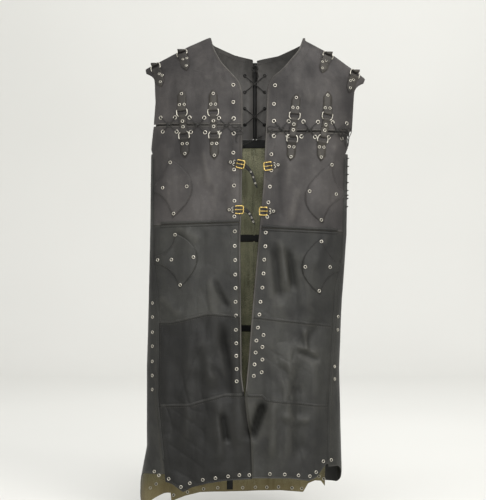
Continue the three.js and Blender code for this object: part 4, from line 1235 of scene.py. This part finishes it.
def buckles():
    long_side = BUCKLE["width"] - BUCKLE["band"]
    half = (BUCKLE["height"] - BUCKLE["band"]) / 2
    corner = 3.0
    t = np.linspace(0, math.pi / 2, 6)
    path = [(0, -half, 0), (0, 0, 0), (0, half, 0), (long_side / 2, half, 0)]
    path += [(long_side - corner + corner * math.sin(a), half - corner + corner * math.cos(a), 0) for a in t]
    path += [(long_side, 0, 0)]
    path += [(long_side - corner + corner * math.cos(a), -half + corner - corner * math.sin(a), 0) for a in t]
    path += [(long_side / 2, -half, 0)]
    for name in BUCKLES:
        axes = buckle_axes(name)
        made = Gathered()
        rounded_frame(made, even_steps([*path, path[0]], 1.6)[:-1], BUCKLE["band"], BUCKLE["thickness"], axes)
        stand_for(made.piece(f"{name}_buckle_frame", [finish("antique_brass")]), f"{name}_buckle",
                  "buckle_brass", f"{name}_buckle")
        tongue = Gathered()
        turn = np.linspace(0, 2 * math.pi, 22, endpoint=False)
        eye = [((BAR_BORE + 0.65) * math.cos(a), 0, (BAR_BORE + 0.65) * math.sin(a)) for a in turn]
        rounded_frame(tongue, eye, 1.15, PRONG_WIDTH, (axes[0], axes[1], axes[2], axes[3]), across="y")
        bend = [(2.2, 0, 1.9), (4, 0, 2.35), (8, 0, 2.5), (13, 0, 2.45), (18, 0, 2.5), (21.2, 0, 2.6),
                (22.6, 0, 2.3)]
        radii = np.interp(np.linspace(0, 1, 6 * 4 + 1), [0, 0.1, 0.8, 1], [1.0, 1.15, 1.0, 0.55])
        tube(tongue, placed(smooth_path(bend, 4), axes), radii, sides=10, flat=0.78)
        stand_for(tongue.piece(f"{name}_buckle_tongue", [finish("antique_brass")]), f"{name}_prong",
                  "buckle_brass", f"{name}_prong")


def rounded_frame(gathered, path, width, thickness, axes, across="plane"):
    """A closed bar of rounded-rectangle section; its width lies in the plane of its path."""
    path = np.asarray(path, float)
    ahead = np.roll(path, -1, 0) - np.roll(path, 1, 0)
    ahead /= np.linalg.norm(ahead, axis=1, keepdims=True)
    plane = np.array([0.0, 0, 1]) if across == "plane" else np.array([0.0, 1, 0])
    side = np.cross(ahead, plane)
    turn = np.arange(12) * math.pi / 6
    shape = [(np.sign(math.cos(a)) * abs(math.cos(a)) ** 0.6 / 2,
              np.sign(math.sin(a)) * abs(math.sin(a)) ** 0.6 / 2)
             for a in turn]
    rows = np.stack([path + side * width * a + plane * thickness * b for a, b in shape], 1)
    count = len(shape)
    faces = grid_faces(len(path), count, closed=True)
    last = (len(path) - 1) * count
    faces += [(last + c, c, (c + 1) % count, last + (c + 1) % count) for c in range(count)]
    gathered.add(placed(rows, axes), faces)


def buckle_tabs():
    """Riveted tabs that hold the buckles, with three eyelets each."""
    for name in BUCKLES:
        origin, x, y, z = buckle_axes(name)
        axes = (origin, y, -x, z)
        made = Gathered()
        loop = [(25, -3.1), (18, -2.9), (11, -2.4), (7.5, -1.0), (4.6, 1.1), (2.4, 2.55), (0, 3.25),
                (-2.2, 2.4),
                (-3.25, 0), (-2.3, -2.3), (0, -3.25), (3, -3.7), (8, -3.9)]
        path = smooth_path(loop, 3)
        for side in (-1, 1):
            shifted_axes = (origin + y * side * 4.9, y, -x, z)
            leather_band(made, path[12:], 5.4, 1.8, shifted_axes)
        leather_band(made, path[:15], 15, 1.8, axes,
                     taper=np.interp(np.linspace(0, 1, 15), [0, 0.12, 0.3, 1], [0.35, 0.75, 1, 1]))
        stand_for(made.piece(f"{name}_buckle_tab", [finish("bridle_strap")]), "coat", "strap_leather")
        rivets = Gathered()
        for back, aside in ((7.8, 4.2), (7.8, -4.2), (18.0, 0)):
            eyelet(rivets, placed([aside, back, -0.2 if back < 10 else -1.9], axes), z, 3.9)
        plated_eyelets(rivets, f"{name}_buckle_tab_eyelets")


BILLETS = {
    "upper": [(-4, 1), (4, -4), (13, -12), (22, -26), (28, -46), (35, -62)],
    "lower": [(-4, 0), (5, -1), (13, -6), (20, -17), (26, -30), (30, -40)],
}
BILLET_WIDTH = 12


def billets():
    """Narrow straps that leave the right buckles and hang in a curve, twisting towards their tips."""
    for level_name, route in BILLETS.items():
        name = f"{level_name}_billet"
        origin, x, y, z = buckle_axes(f"right_{level_name}")
        tilt = math.radians(BUCKLES[f"right_{level_name}"][1])
        flat_x = x * math.cos(-tilt) + y * math.sin(-tilt)
        flat_y = -x * math.sin(-tilt) + y * math.cos(-tilt)
        start = origin + x * (BUCKLE["width"] - BUCKLE["band"])
        axes = (start, flat_x, flat_y, z)
        behind = -(BAR_REACH + 0.1 + STRAP / 2)
        line = smooth_path([(a, b, 0) for a, b in route], 6)
        rows = []
        for k, point in enumerate(line):
            ahead = line[min(k + 1, len(line) - 1)] - line[max(k - 1, 0)]
            ahead /= np.linalg.norm(ahead)
            aside = np.array([-ahead[1], ahead[0], 0])
            share = k / (len(line) - 1)
            left_over = (1 - share) / 0.14
            half = BILLET_WIDTH / 2 * (1 - 0.55 * share) * min(1, 0.4 + 0.6 * left_over)
            twist = 0.25 * share * share
            aside = aside * math.cos(twist) + np.array([0, 0, 1]) * math.sin(twist)
            up = np.cross(ahead, aside)
            base = point + np.array([0, 0, behind - 0.8 * share])
            rows.append([base + aside * half * a + up * b for a, b in
                         [(-1, -0.5), (-1, 0.5), (-0.85, 0.9), (0, 1.0), (0.85, 0.9), (1, 0.5), (1, -0.5),
                          (0.85, -0.9), (-0.85, -0.9)]])
        count = 9
        made = Gathered()
        faces = grid_faces(len(line), count, closed=True) + [list(range(count)),
                                                            [(len(line) - 1) * count + i for i in
                                                             reversed(range(count))]]
        made.add(placed(np.array(rows), axes), faces)
        stand_for(made.piece(f"{name}_strap", [finish("black_strap")]), name, "strap_leather", name)
        rivets = Gathered()
        for share in (0.5, 0.68, 0.86):
            k = int(share * (len(line) - 1))
            eyelet(rivets, placed(line[k] + [0, 0, behind + 0.9 - 0.8 * share], axes), z, 2.7)
        plated_eyelets(rivets, f"{name}_eyelets", name)


# ---- Laces ----
def between_places(a, b, share=0.5):
    return a[0] + (b[0] - a[0]) * share, a[1] + (b[1] - a[1]) * share


def lace_route(upper, lower, back, shown_inside):
    """Crosses between two rows of holes, two holes of each row to a cross."""
    points = []
    over = LACE / 2 + LAYER_GAP + 1.1
    sign = -1 if shown_inside else 1

    def face(place, height):
        lift = -LEATHER / 2 + sign * (LEATHER / 2 + height)
        points.append(on_coat(np.array([place[0]]), np.array([place[1]]), lift, back)[0])

    def behind(place, height):
        lift = -LEATHER / 2 - sign * (LEATHER / 2 + height)
        points.append(on_coat(np.array([place[0]]), np.array([place[1]]), lift, back)[0])

    def go_in(hole, other):
        face(between_places(hole, other, 0.03), over)
        behind(hole, -LEATHER / 2)
        behind(hole, over)

    def come_out(hole, other):
        behind(hole, over)
        behind(hole, -LEATHER / 2)
        face(between_places(hole, other, 0.03), over)

    for i in range(0, len(upper) - 1, 2):
        if i:
            behind(between_places(upper[i - 1], upper[i]), over)
        else:
            behind((upper[0][0], upper[0][1] + 10), over)
        come_out(upper[i], lower[i + 1])
        for share in (0.22, 0.5, 0.78):
            face(between_places(upper[i], lower[i + 1], share), over)
        go_in(lower[i + 1], upper[i])
        behind(between_places(lower[i + 1], lower[i]), over)
        come_out(lower[i], upper[i + 1])
        for share, lift in ((0.25, 0.6), (0.5, LACE + 0.6), (0.75, 0.6)):
            face(between_places(lower[i], upper[i + 1], share), over + lift)
        go_in(upper[i + 1], lower[i])
    behind((upper[-1][0], upper[-1][1] + 10), over)
    return smooth_path(points, 5)


def eyelet_row(ends):
    (x0, z0), (x1, z1) = ends
    return [(x0 + (x1 - x0) * k / 5, z0 + (z1 - z0) * k / 5) for k in range(6)]


def back_columns():
    heights = [BACK_LACING["top"] - k * BACK_LACING["pitch"] for k in range(BACK_LACING["rows"])]
    return [[(SLIT["x"] + sign * BACK_LACING["reach"], z) for z in heights] for sign in (-1, 1)]


# Loose ends and knots: hanging strands as front-view points with how far they stand off the leather.
LOOSE_LACES = {
    "left_side_knot": [
        [(228, -258, 2), (236, -252, 5), (244, -258, 7), (243, -268, 6), (235, -272, 5), (229, -266, 3),
         (236, -256, 6), (247, -262, 4), (250, -276, 3), (246, -292, 2)],
        [(236, -264, 4), (241, -276, 5), (239, -290, 3), (243, -304, 1)],
        [(240, -262, 5), (248, -270, 4), (252, -284, 2), (251, -298, 1)],
        [(233, -262, 4), (229, -274, 4), (231, -288, 2)],
        [(244, -256, 4), (252, -250, 3), (256, -258, 2), (254, -270, 1)],
        [(238, -270, 4), (246, -280, 3), (247, -296, 1), (241, -308, 1)],
    ],
    "right_edge_loops": [
        [(-72, -248, 2), (-60, -254, 4), (-48, -250, 4), (-42, -256, 2), (-48, -264, 3), (-62, -262, 5),
         (-74, -268, 2)],
        [(-68, -266, 3), (-56, -258, 5), (-44, -262, 4), (-40, -270, 2), (-50, -272, 3), (-64, -270, 3)],
        [(-58, -262, 4), (-54, -274, 3), (-58, -286, 2), (-54, -296, 1)],
    ],
    "left_edge_loops": [
        [(58, -246, 2), (46, -252, 4), (34, -250, 4), (26, -256, 2), (34, -264, 3), (48, -262, 5),
         (58, -268, 2)],
        [(40, -258, 4), (34, -270, 3), (36, -284, 2)],
    ],
}


def laces():
    for side, rows in LACING.items():
        made = Gathered()
        path = lace_route(eyelet_row(rows["upper"]), eyelet_row(rows["lower"]), False, False)
        tube(made, path, 1.35, sides=10)
        name = f"{side}_yoke_lace"
        stand_for(made.piece(f"{name}_cord", [finish("waxed_lace")]), "coat", "lace", name)
        pad = Gathered()
        for k in (0, 2, 4):
            upper, lower = eyelet_row(rows["upper"]), eyelet_row(rows["lower"])
            centre = between_places(between_places(upper[k], lower[k + 1]),
                                    between_places(lower[k], upper[k + 1]))
            for angle, length in ((0.15, 9), (-0.3, 7), (0.5, 6), (1.9, 5)):
                dx, dz = math.cos(angle) * length, math.sin(angle) * length
                ends = [(centre[0] - dx, centre[1] - dz, 3), (centre[0], centre[1], 6.6),
                        (centre[0] + dx, centre[1] + dz, 3)]
                line = smooth_path([on_coat(np.array([x]), np.array([z]), h)[0] for x, z, h in ends], 5)
                tube(pad, line,
                     np.interp(np.linspace(0, 1, len(line)), [0, 0.2, 0.8, 1], [0.4, 1.0, 1.0, 0.4]), 7)
        stand_for(pad.piece(f"{side}_lace_twists", [finish("waxed_lace")]), "coat", "lace")
    right, left = back_columns()
    made = Gathered()
    tube(made, lace_route(right, left, True, True), 1.35, sides=10)
    stand_for(made.piece("back_lace_cord", [finish("waxed_lace")]), "coat", "lace", "back_lace")
    for name, strands in LOOSE_LACES.items():
        made = Gathered()
        for strand in strands:
            line = smooth_path([on_coat(np.array([x]), np.array([z]), h)[0] for x, z, h in strand], 5)
            radii = np.interp(np.linspace(0, 1, len(line)), [0, 0.08, 0.85, 1], [0.5, 1.25, 1.1, 0.3])
            tube(made, line, radii, 8)
        stand_for(made.piece(name, [finish("waxed_lace")]), "coat", "lace")
    side_loops()
    slit_knot()


def side_loops():
    """Lace bumps where the left side seam is laced under the armhole."""
    made = Gathered()
    for k, z in enumerate([*np.linspace(-330, -462, 7), -431]):
        loop = []
        for t in np.linspace(0, math.pi, 9):
            angle = np.array([0.22 * math.cos(t)])
            height = np.array([z + 8 * (0.5 - t / math.pi)])
            loop.append(coat_points(angle, height,
                                    np.array([LEATHER + 0.2 + 2.2 * math.sin(t) + 0.4 * (k % 2)]))[0])
        tube(made, smooth_path(loop, 2), 1.5, 8)
    stand_for(made.piece("left_side_lacing", [finish("waxed_lace")]), "coat", "lace")


def slit_knot():
    """The back lace's knot at the top of the slit, and its stray end across the opening."""
    made = Gathered()
    middle = SLIT["x"]
    for points in (
        [(middle - 8, -70, 3), (middle + 2, -62, 6), (middle + 9, -70, 7), (middle, -80, 6),
         (middle - 9, -74, 4)],
        [(middle - 2, -74, 6), (middle - 6, -92, 4), (middle - 2, -112, 3)],
        [(middle + 3, -74, 6), (middle + 9, -90, 4), (middle + 6, -106, 3)],
        [(middle + 20, -262, 3), (middle, -272, 7), (middle - 24, -284, 6), (middle - 50, -292, 3)],
    ):
        line = smooth_path([on_coat(np.array([x]), np.array([z]), -LEATHER - h, True)[0] for x, z,
                            h in points], 6)
        tube(made, line, 1.7, 8)
    stand_for(made.piece("back_slit_knot", [finish("waxed_lace")]), "coat", "lace")


# ---- Eyelets ----
EYELETS = {
    "front": [
        (-65, -139), (-65, -185), (-65, -321), (-63, -366), (-63, -409), (-62, -450), (-62, -492),
        (-61, -532),
        (-61, -571), (-60, -609), (-60, -648), (-59, -684), (-59, -721), (-58, -758), (-58, -796),
        (-57, -832),
        (-57, -866), (-56, -901), (-56, -934), (47, -140), (44, -190), (37, -325), (37, -368), (33, -412),
        (29, -454), (26, -493), (22, -535), (21, -572), (18, -608), (16, -645), (13, -683), (8, -721),
        (5, -755),
        (1, -790), (-3, -825), (-5, -857), (-8, -889), (-10, -920), (16, -810), (13, -842), (13, -876),
        (11, -910),
    ],
    "side": [
        (-285, -726), (-285, -764), (-285, -805), (-285, -843), (-285, -884), (-285, -922), (-285, -960),
        (220, -763), (219, -799), (210, -898), (210, -932),
    ],
    "hem": [
        (-279, -1181), (-266, -1190), (-239, -1198), (-206, -1219), (-182, -1209), (-147, -1199),
        (-113, -1194),
        (-79, -1189), (-49, -1186), (-22, -1186), (33, -1183), (73, -1184), (110, -1187), (141, -1190),
        (158, -1180), (178, -1152), (200, -1150),
    ],
    "back_hem": [
        (-298, -1246), (-282, -1236), (-234, -1270), (-195, -1262), (-150, -1254), (-110, -1251),
        (-74, -1251), (-40, -1251),
        (-4, -1250), (28, -1250), (61, -1249), (99, -1251), (126, -1252), (174, -1216), (187, -1222),
    ],
}
PATCH_EYELETS = [
    (-235, -346), (-190, -411), (-226, -484), (-256, -414), (201, -352), (140, -424), (172, -501),
    (213, -431),
    (-222, -541), (-172, -601), (-232, -608), (-208, -676), (-270, -609), (172, -559), (128, -627),
    (196, -628),
    (166, -692),
]
SHOULDER_EYELETS = [
    (-268, -103), (-259, -108), (-264, -126), (-203, -64), (-192, -62), (-193, -84), (178, -72), (188, -68),
    (177, -91), (254, -122), (263, -119), (253, -142),
]


def eyelets():
    lace_holes = [place for rows in LACING.values() for ends in rows.values() for place in eyelet_row(ends)]
    on_tabs = []
    for upper_point, upper_bar, lower_bar, lower_point in SUSPENDERS.values():
        for bar, point in ((upper_bar, upper_point), (lower_bar, lower_point)):
            ahead = (np.array(point, float) - bar) / math.dist(point, bar)
            aside = np.array([-ahead[1], ahead[0]])
            on_tabs += [tuple(bar + ahead * 14 + aside * 6.4), tuple(bar + ahead * 14 - aside * 6.4),
                        tuple(np.array(point) - ahead * 11)]
    groups = [
        ("lace_eyelets", lace_holes, 5.7, 0, False), ("edge_eyelets", EYELETS["front"], 5.0, 0, False),
        ("side_eyelets", EYELETS["side"], 4.8, 0, False),
        ("front_hem_eyelets", EYELETS["hem"], 4.8, 0, False),
        ("patch_eyelets", PATCH_EYELETS, 4.8, LAYER_GAP + STRAP, False),
        ("tab_eyelets", on_tabs, 4.3, LAYER_GAP + STRAP, False),
        ("shoulder_tab_eyelets", SHOULDER_EYELETS, 4.2, LAYER_GAP + STRAP, False),
        ("back_hem_eyelets", EYELETS["back_hem"], 4.8, 0, True),
    ]
    for name, places, radius, lift, back in groups:
        made = Gathered()
        x, z = np.array(places, float).T
        for place, normal in zip(on_coat(x, z, lift, back), normals_on_coat(x, z, back)):
            eyelet(made, place, normal, radius)
        if back:
            for place, normal in zip(on_coat(x, z, -LEATHER, True), normals_on_coat(x, z, True)):
                eyelet(made, place, -normal, radius)
        plated_eyelets(made, name)
    made = Gathered()
    for column in back_columns():
        x, z = np.array(column, float).T
        normals = normals_on_coat(x, z, True)
        for place, normal in zip(on_coat(x, z, 0, True), normals):
            eyelet(made, place, normal, 5.7)
        for place, normal in zip(on_coat(x, z, -LEATHER, True), normals):
            eyelet(made, place, -normal, 5.2, metal=2)
    plated_eyelets(made, "back_lace_eyelets", "coat", "black_facing")


# ---- Seams and stitching ----
def seam_line(side, name, start, end, shift=0.0):
    """Points of a cross seam between two x."""
    x = np.linspace(start, end, 90)
    return np.stack([x, interpolate([(px, pz) for px, pz in SEAMS[side][name]], x) + shift], -1)


def edge_line(side, distance, top=-20, bottom=-900):
    """A line that follows the front edge, a distance inside it."""
    line = rounded_line([p for p in FRONT_EDGE[side] if bottom - 60 < p[1] < top + 40], 5, 4)
    moved = offset_line(line, -distance if side == "right" else distance)
    return moved[(moved[:, 1] < top) & (moved[:, 1] > bottom)]


def seams():
    limits = {"right": (-262, -44), "left": (218, 20)}
    for side, (outermost, innermost) in limits.items():
        sign = -1 if side == "right" else 1
        welts, thread = Gathered(), Gathered()
        inner = {"waist": -50 if side == "right" else 12, "hip": -52 if side == "right" else -8,
                 "knee": -40 if side == "right" else -26}
        outer = {"waist": outermost, "hip": outermost + (0 if side == "right" else -18),
                 "knee": outermost + (0 if side == "right" else -28)}
        for shift in (-4.6, 4.6):
            strip(welts, seam_line(side, "waist", outer["waist"], inner["waist"], shift), 6.4, 1.6)
        strip(welts, seam_line(side, "hip", outer["hip"], inner["hip"], 2), 7, 1.0)
        strip(welts, seam_line(side, "knee", outer["knee"], inner["knee"], 2), 7, 1.0)
        for shift in (-4.6, 4.6):
            stitches(thread, seam_line(side, "waist", outer["waist"], inner["waist"], shift), lift=1.7)
        for name in ("hip", "knee"):
            stitches(thread, seam_line(side, name, outer[name], inner[name], 2), lift=1.1)
            stitches(thread, seam_line(side, name, outer[name], inner[name], -5))
        yoke_outer = -268 if side == "right" else 250
        yoke_inner = -44 if side == "right" else 28
        for shift in (4.5, -LACED_GAP - 4.5):
            stitches(thread, seam_line(side, "yoke", yoke_outer, yoke_inner, shift))
        # Pale rolled edges along the front and the yoke seam: wear, and a painted highlight on the roll.
        rolled = Gathered()
        strip(rolled, edge_line(side, 2.2, top=-14, bottom=-965), 3.6, 1.1)
        strip(rolled, seam_line(side, "yoke", yoke_outer, yoke_inner, -LACED_GAP - 1.6), 2.6, 0.8)
        strip(rolled, seam_line(side, "yoke", yoke_outer, yoke_inner, 1.8), 2.6, 0.8)
        stand_for(rolled.piece(f"{side}_rolled_edges", [finish("rubbed_edge_highlight")]), "coat", "upper_leather")
        stitches(thread, edge_line(side, 7.5))
        stitches(thread, edge_line(side, 26, bottom=-880))
        hem_end = -40 if side == "right" else -4
        stitches(thread, seam_line(side, "hem", outer["knee"], hem_end, 5))
        below = [p for p in FRONT_EDGE[side] if p[1] < -960]
        stitches(thread,
                 offset_line(rounded_line(below, 6, 2), sign * 5 * -1 if side == "right" else 5)[:-22])
        side_seam = rounded_line(SEAMS[side]["side"], 6, 2)
        side_seam = side_seam[(side_seam[:, 1] > -1150) & (side_seam[:, 1] < -330)]
        strip(welts, side_seam, 6, 0.9)
        for shift in (-7, 7):
            stitches(thread, offset_line(side_seam, shift))
        stand_for(welts.piece(f"{side}_seam_welts", [finish("garment_cowhide")]), "coat", "skirt_leather")
        stand_for(thread.piece(f"{side}_seam_thread", [finish("linen_thread")]), "coat", "lace")
    back_seams()
    inside_bands()


def back_seams():
    welts, thread = Gathered(), Gathered()
    for z, start, end in ((-280, -270, 236), (-548, -262, 218), (-802, -250, 190)):
        line = np.stack([np.linspace(start, end, 90), np.full(90, float(z))], -1)
        strip(welts, line, 9, 1.2, back=True)
        for shift in (-3, 3):
            stitches(thread, line + [0, shift], back=True, lift=1.3)
    centre = np.array([(SLIT["x"] - 2.0, z) for z in np.linspace(-288, -1240, 120)])
    strip(welts, centre, 7, 1.0, back=True)
    for shift in (-6, 6):
        stitches(thread, centre + [shift, 0], back=True)
    for sign in (-1, 1):
        edge = np.array([(SLIT["x"] + sign * (SLIT["width"] / 2 + 5), z) for z in np.linspace(-60, -268, 40)])
        stitches(thread, edge, back=True)
    stand_for(welts.piece("back_seam_welts", [finish("bridle_strap")]), "coat", "skirt_leather")
    stand_for(thread.piece("back_seam_thread", [finish("linen_thread")]), "coat", "lace")


def inside_bands():
    """Black facings over the seams of the back's suede side, and the stitching of the facing round the neck.
    """
    made, thread = Gathered(), Gathered()
    for z, width in ((-284, 24), (-549, 21), (-803, 19)):
        line = np.stack([np.linspace(-250, 196, 70), np.full(70, float(z))], -1)
        strip(made, line, width, -1.3, back=True, sunk=-0.4, lift=-LEATHER)
        for shift in (-width / 2 + 3, width / 2 - 3):
            stitches(thread, line + [0, shift], back=True, lift=-LEATHER - 1.7)
    strip(made, np.array([(-76, z) for z in np.linspace(-1210, -1256, 8)]), 17, -1.3, back=True, sunk=-0.4,
          lift=-LEATHER)
    neck = rounded_line([(x, z - 11) for x, z in BACK_NECK[1:-1]], 4, 6)
    for part in (neck[neck[:, 0] < SLIT["x"] - 8], neck[neck[:, 0] > SLIT["x"] + 8]):
        stitches(thread, part, back=True, lift=-LEATHER - 0.5, width=1.1)
    stand_for(made.piece("inner_back_facings", [finish("black_facing")]), "coat", "skirt_leather")
    placket = Gathered()
    strip(placket, np.array([(SLIT["x"], z) for z in np.linspace(-58, -270, 50)]), 26, 1.4, back=True,
          sunk=-0.2)
    stand_for(placket.piece("slit_placket", [finish("black_facing")]), "coat", "upper_leather")
    stand_for(thread.piece("inner_back_thread", [finish("linen_thread")]), "coat", "lace")
    seam = Gathered()
    strip(seam, np.array([(SLIT["x"] - 2.0, z) for z in np.linspace(-300, -1240, 120)]), 5, -1.1, back=True,
          sunk=-0.4, lift=-LEATHER)
    stand_for(seam.piece("inner_centre_seam", [finish("olive_suede")]), "coat", "skirt_leather")


# ---- The stage ----
def aim(thing, target):
    thing.rotation_euler = (Vector(target) - thing.location).to_track_quat("-Z", "Y").to_euler()


def softbox(name, place, target, size, power, tint="#ffffff"):
    data = bpy.data.lights.new(name, "AREA")
    data.shape = "RECTANGLE"
    data.size, data.size_y = size
    data.energy = power
    data.color = linear(tint)
    thing = bpy.data.objects.new(name, data)
    thing.location = place
    aim(thing, target)
    bpy.context.scene.collection.objects.link(thing)


VIEWED = (-0.039, -0.582)  # x and z of the point straight before the camera, in metres
FLOOR_GAP = 0.012  # metres between the lowest hem and the floor


def build_stage():
    settings = bpy.context.scene.coat_stage
    data = bpy.data.cameras.new("coat_camera")
    data.sensor_fit = "AUTO"
    data.angle = settings.view_angle
    camera = bpy.data.objects.new("coat_camera", data)
    camera.location = (VIEWED[0], -settings.distance, VIEWED[1])
    camera.rotation_euler = (math.pi / 2, 0, 0)
    bpy.context.scene.collection.objects.link(camera)
    bpy.context.scene.camera = camera

    floor_z = CAD_BOX[0][2] - FLOOR_GAP
    width, front, back, bend, height = 9.0, -6.0, 5.4, 1.6, 6.0
    profile = [(front, floor_z), (back - bend, floor_z)]
    profile += [(back - bend + bend * math.sin(t), floor_z + bend * (1 - math.cos(t)))
                for t in np.linspace(0.05, math.pi / 2, 16)]
    profile.append((back, floor_z + height))
    points = [(x / MM, y / MM, z / MM) for y, z in profile for x in (-width, width)]
    sweep = make_piece("paper_sweep", points, grid_faces(len(profile), 2), [finish_paper(settings.paper)])

    world = bpy.data.worlds.new("studio_air")
    world.use_nodes = True
    air = world.node_tree.nodes["Background"]
    air.inputs["Color"].default_value = (*linear("#f6f5f2"), 1)
    air.inputs["Strength"].default_value = settings.air
    bpy.context.scene.world = world
    bpy.context.scene.view_settings.view_transform = "Standard"
    middle = (-0.04, 0, -0.6)
    softbox("key_softbox", (2.1, -2.9, 1.4), middle, (1.6, 2.2), settings.key, "#fffcf6")
    softbox("fill_softbox", (-2.4, -2.6, 0.4), middle, (1.8, 2.6), settings.key * 0.25, "#fffefb")
    softbox("front_softbox", (0.3, -4.4, 0.2), middle, (2.4, 2.4), settings.front)
    softbox("top_softbox", (0.2, -1.3, 2.3), (-0.04, 0, -0.1), (2.4, 1.6), settings.key * 0.6)
    softbox("wall_softbox", (0.9, 2.2, 2.4), (0.2, 5.4, 0.1), (4.0, 1.6), settings.key * 0.9)
    softbox("back_softbox", (0.6, 1.4, 1.2), (0, 0.3, -0.6), (1.6, 1.6), settings.key * 0.25)


def finish_paper(colour):
    """Seamless background paper: matt, with a barely visible cloudiness."""
    material, tree, shader, place = new_finish("background_paper", Roughness=0.95, Specular_IOR_Level=0.2)
    cloud = add_node(tree, "ShaderNodeTexNoise", inputs={"Vector": place, "Scale": 0.7, "Detail": 2.0})
    tree.links.new(mixed(tree, cloud.outputs[0], colour, "#dadad7"), shader.inputs["Base Color"])
    return material


# ---- Settings, operators and panel ----
class CoatStageSettings(bpy.types.PropertyGroup):
    distance: bpy.props.FloatProperty(name="Distance", description="Camera to the coat's middle", default=3.5,
                                      min=1.0, unit="LENGTH")
    view_angle: bpy.props.FloatProperty(name="View angle",
                                        description="The camera's angle over the frame's height",
                                        default=2 * math.atan(0.6875 / 3.5), subtype="ANGLE")
    key: bpy.props.FloatProperty(name="Key light", description="Power of the main softbox in watts",
                                 default=62.0,
                                 min=0.0)
    front: bpy.props.FloatProperty(name="Front light",
                                   description="Power of the softbox behind the camera in watts",
                                   default=75.0, min=0.0)
    air: bpy.props.FloatProperty(name="Air light", description="Strength of the light from all round",
                                 default=0.85,
                                 min=0.0)
    paper: bpy.props.StringProperty(name="Paper", description="Colour of the background paper, sRGB hex",
                                    default="#d2d2cf")


class CoatLook(bpy.types.PropertyGroup):
    upper_deep: bpy.props.StringProperty(name="Upper, deep",
                                         description="Darkest colour of the yokes and chest",
                                         default="#252323")
    upper_usual: bpy.props.StringProperty(name="Upper", description="Usual colour of the yokes and chest",
                                          default="#3c3938")
    skirt_deep: bpy.props.StringProperty(name="Skirt, deep", description="Darkest colour of the skirt",
                                         default="#191918")
    skirt_usual: bpy.props.StringProperty(name="Skirt", description="Usual colour of the skirt",
                                          default="#2b2b28")


class COAT_OT_stage(bpy.types.Operator):
    """Sets the camera, the softboxes and the background paper."""
    bl_idname = "coat.stage"
    bl_label = "Stage"

    def execute(self, context):
        build_stage()
        return {"FINISHED"}


class COAT_OT_panels(bpy.types.Operator):
    """Hangs the leather panels of the front, sides and back."""
    bl_idname = "coat.panels"
    bl_label = "Panels"

    def execute(self, context):
        for side in ("right", "left"):
            front_panels(side)
            side_panel(side)
        back_panels()
        return {"FINISHED"}


class COAT_OT_patches(bpy.types.Operator):
    """Lays the four leaf patches on the front panels."""
    bl_idname = "coat.patches"
    bl_label = "Leaf patches"

    def execute(self, context):
        leaf_patches()
        return {"FINISHED"}


class COAT_OT_straps(bpy.types.Operator):
    """Makes the pointed tabs, the suspender links, the shoulder straps and the billets."""
    bl_idname = "coat.straps"
    bl_label = "Straps and tabs"

    def execute(self, context):
        tabs()
        links()
        shoulder_straps()
        billets()
        return {"FINISHED"}


class COAT_OT_rings(bpy.types.Operator):
    """Bends the D-rings of the suspenders and shoulders."""
    bl_idname = "coat.rings"
    bl_label = "D-rings"

    def execute(self, context):
        rings()
        return {"FINISHED"}


class COAT_OT_buckles(bpy.types.Operator):
    """Casts the buckles with their tongues and riveted tabs."""
    bl_idname = "coat.buckles"
    bl_label = "Buckles"

    def execute(self, context):
        buckles()
        buckle_tabs()
        return {"FINISHED"}


class COAT_OT_laces(bpy.types.Operator):
    """Threads the laces of the yokes, the back slit and the side."""
    bl_idname = "coat.laces"
    bl_label = "Laces"

    def execute(self, context):
        laces()
        return {"FINISHED"}


class COAT_OT_eyelets(bpy.types.Operator):
    """Sets the eyelets along edges, hems, patches and tabs."""
    bl_idname = "coat.eyelets"
    bl_label = "Eyelets"

    def execute(self, context):
        eyelets()
        return {"FINISHED"}


class COAT_OT_seams(bpy.types.Operator):
    """Sews the seams: raised welts, stitches and the inner facings."""
    bl_idname = "coat.seams"
    bl_label = "Seams and stitching"

    def execute(self, context):
        seams()
        return {"FINISHED"}


OPERATORS = [COAT_OT_stage, COAT_OT_panels, COAT_OT_patches, COAT_OT_straps, COAT_OT_rings, COAT_OT_buckles,
             COAT_OT_laces, COAT_OT_eyelets, COAT_OT_seams]


class COAT_PT_builder(bpy.types.Panel):
    """Lists the steps that build the coat."""
    bl_label = "Leather coat"
    bl_idname = "COAT_PT_builder"
    bl_space_type = "VIEW_3D"
    bl_region_type = "UI"
    bl_category = "Coat"

    def draw(self, context):
        for settings in (context.scene.coat_stage, context.scene.coat_look):
            for name in settings.__annotations__:
                self.layout.prop(settings, name)
        for operator in OPERATORS:
            self.layout.operator(operator.bl_idname)


CLASSES = [CoatStageSettings, CoatLook, *OPERATORS, COAT_PT_builder]


def register():
    for item in CLASSES:
        bpy.utils.register_class(item)
    bpy.types.Scene.coat_stage = bpy.props.PointerProperty(type=CoatStageSettings)
    bpy.types.Scene.coat_look = bpy.props.PointerProperty(type=CoatLook)


def unregister():
    del bpy.types.Scene.coat_look
    del bpy.types.Scene.coat_stage
    for item in reversed(CLASSES):
        bpy.utils.unregister_class(item)


def main():
    register()
    for operator in OPERATORS:
        group, name = operator.bl_idname.split(".")
        getattr(getattr(bpy.ops, group), name)()


if __name__ == "__main__":
    main()
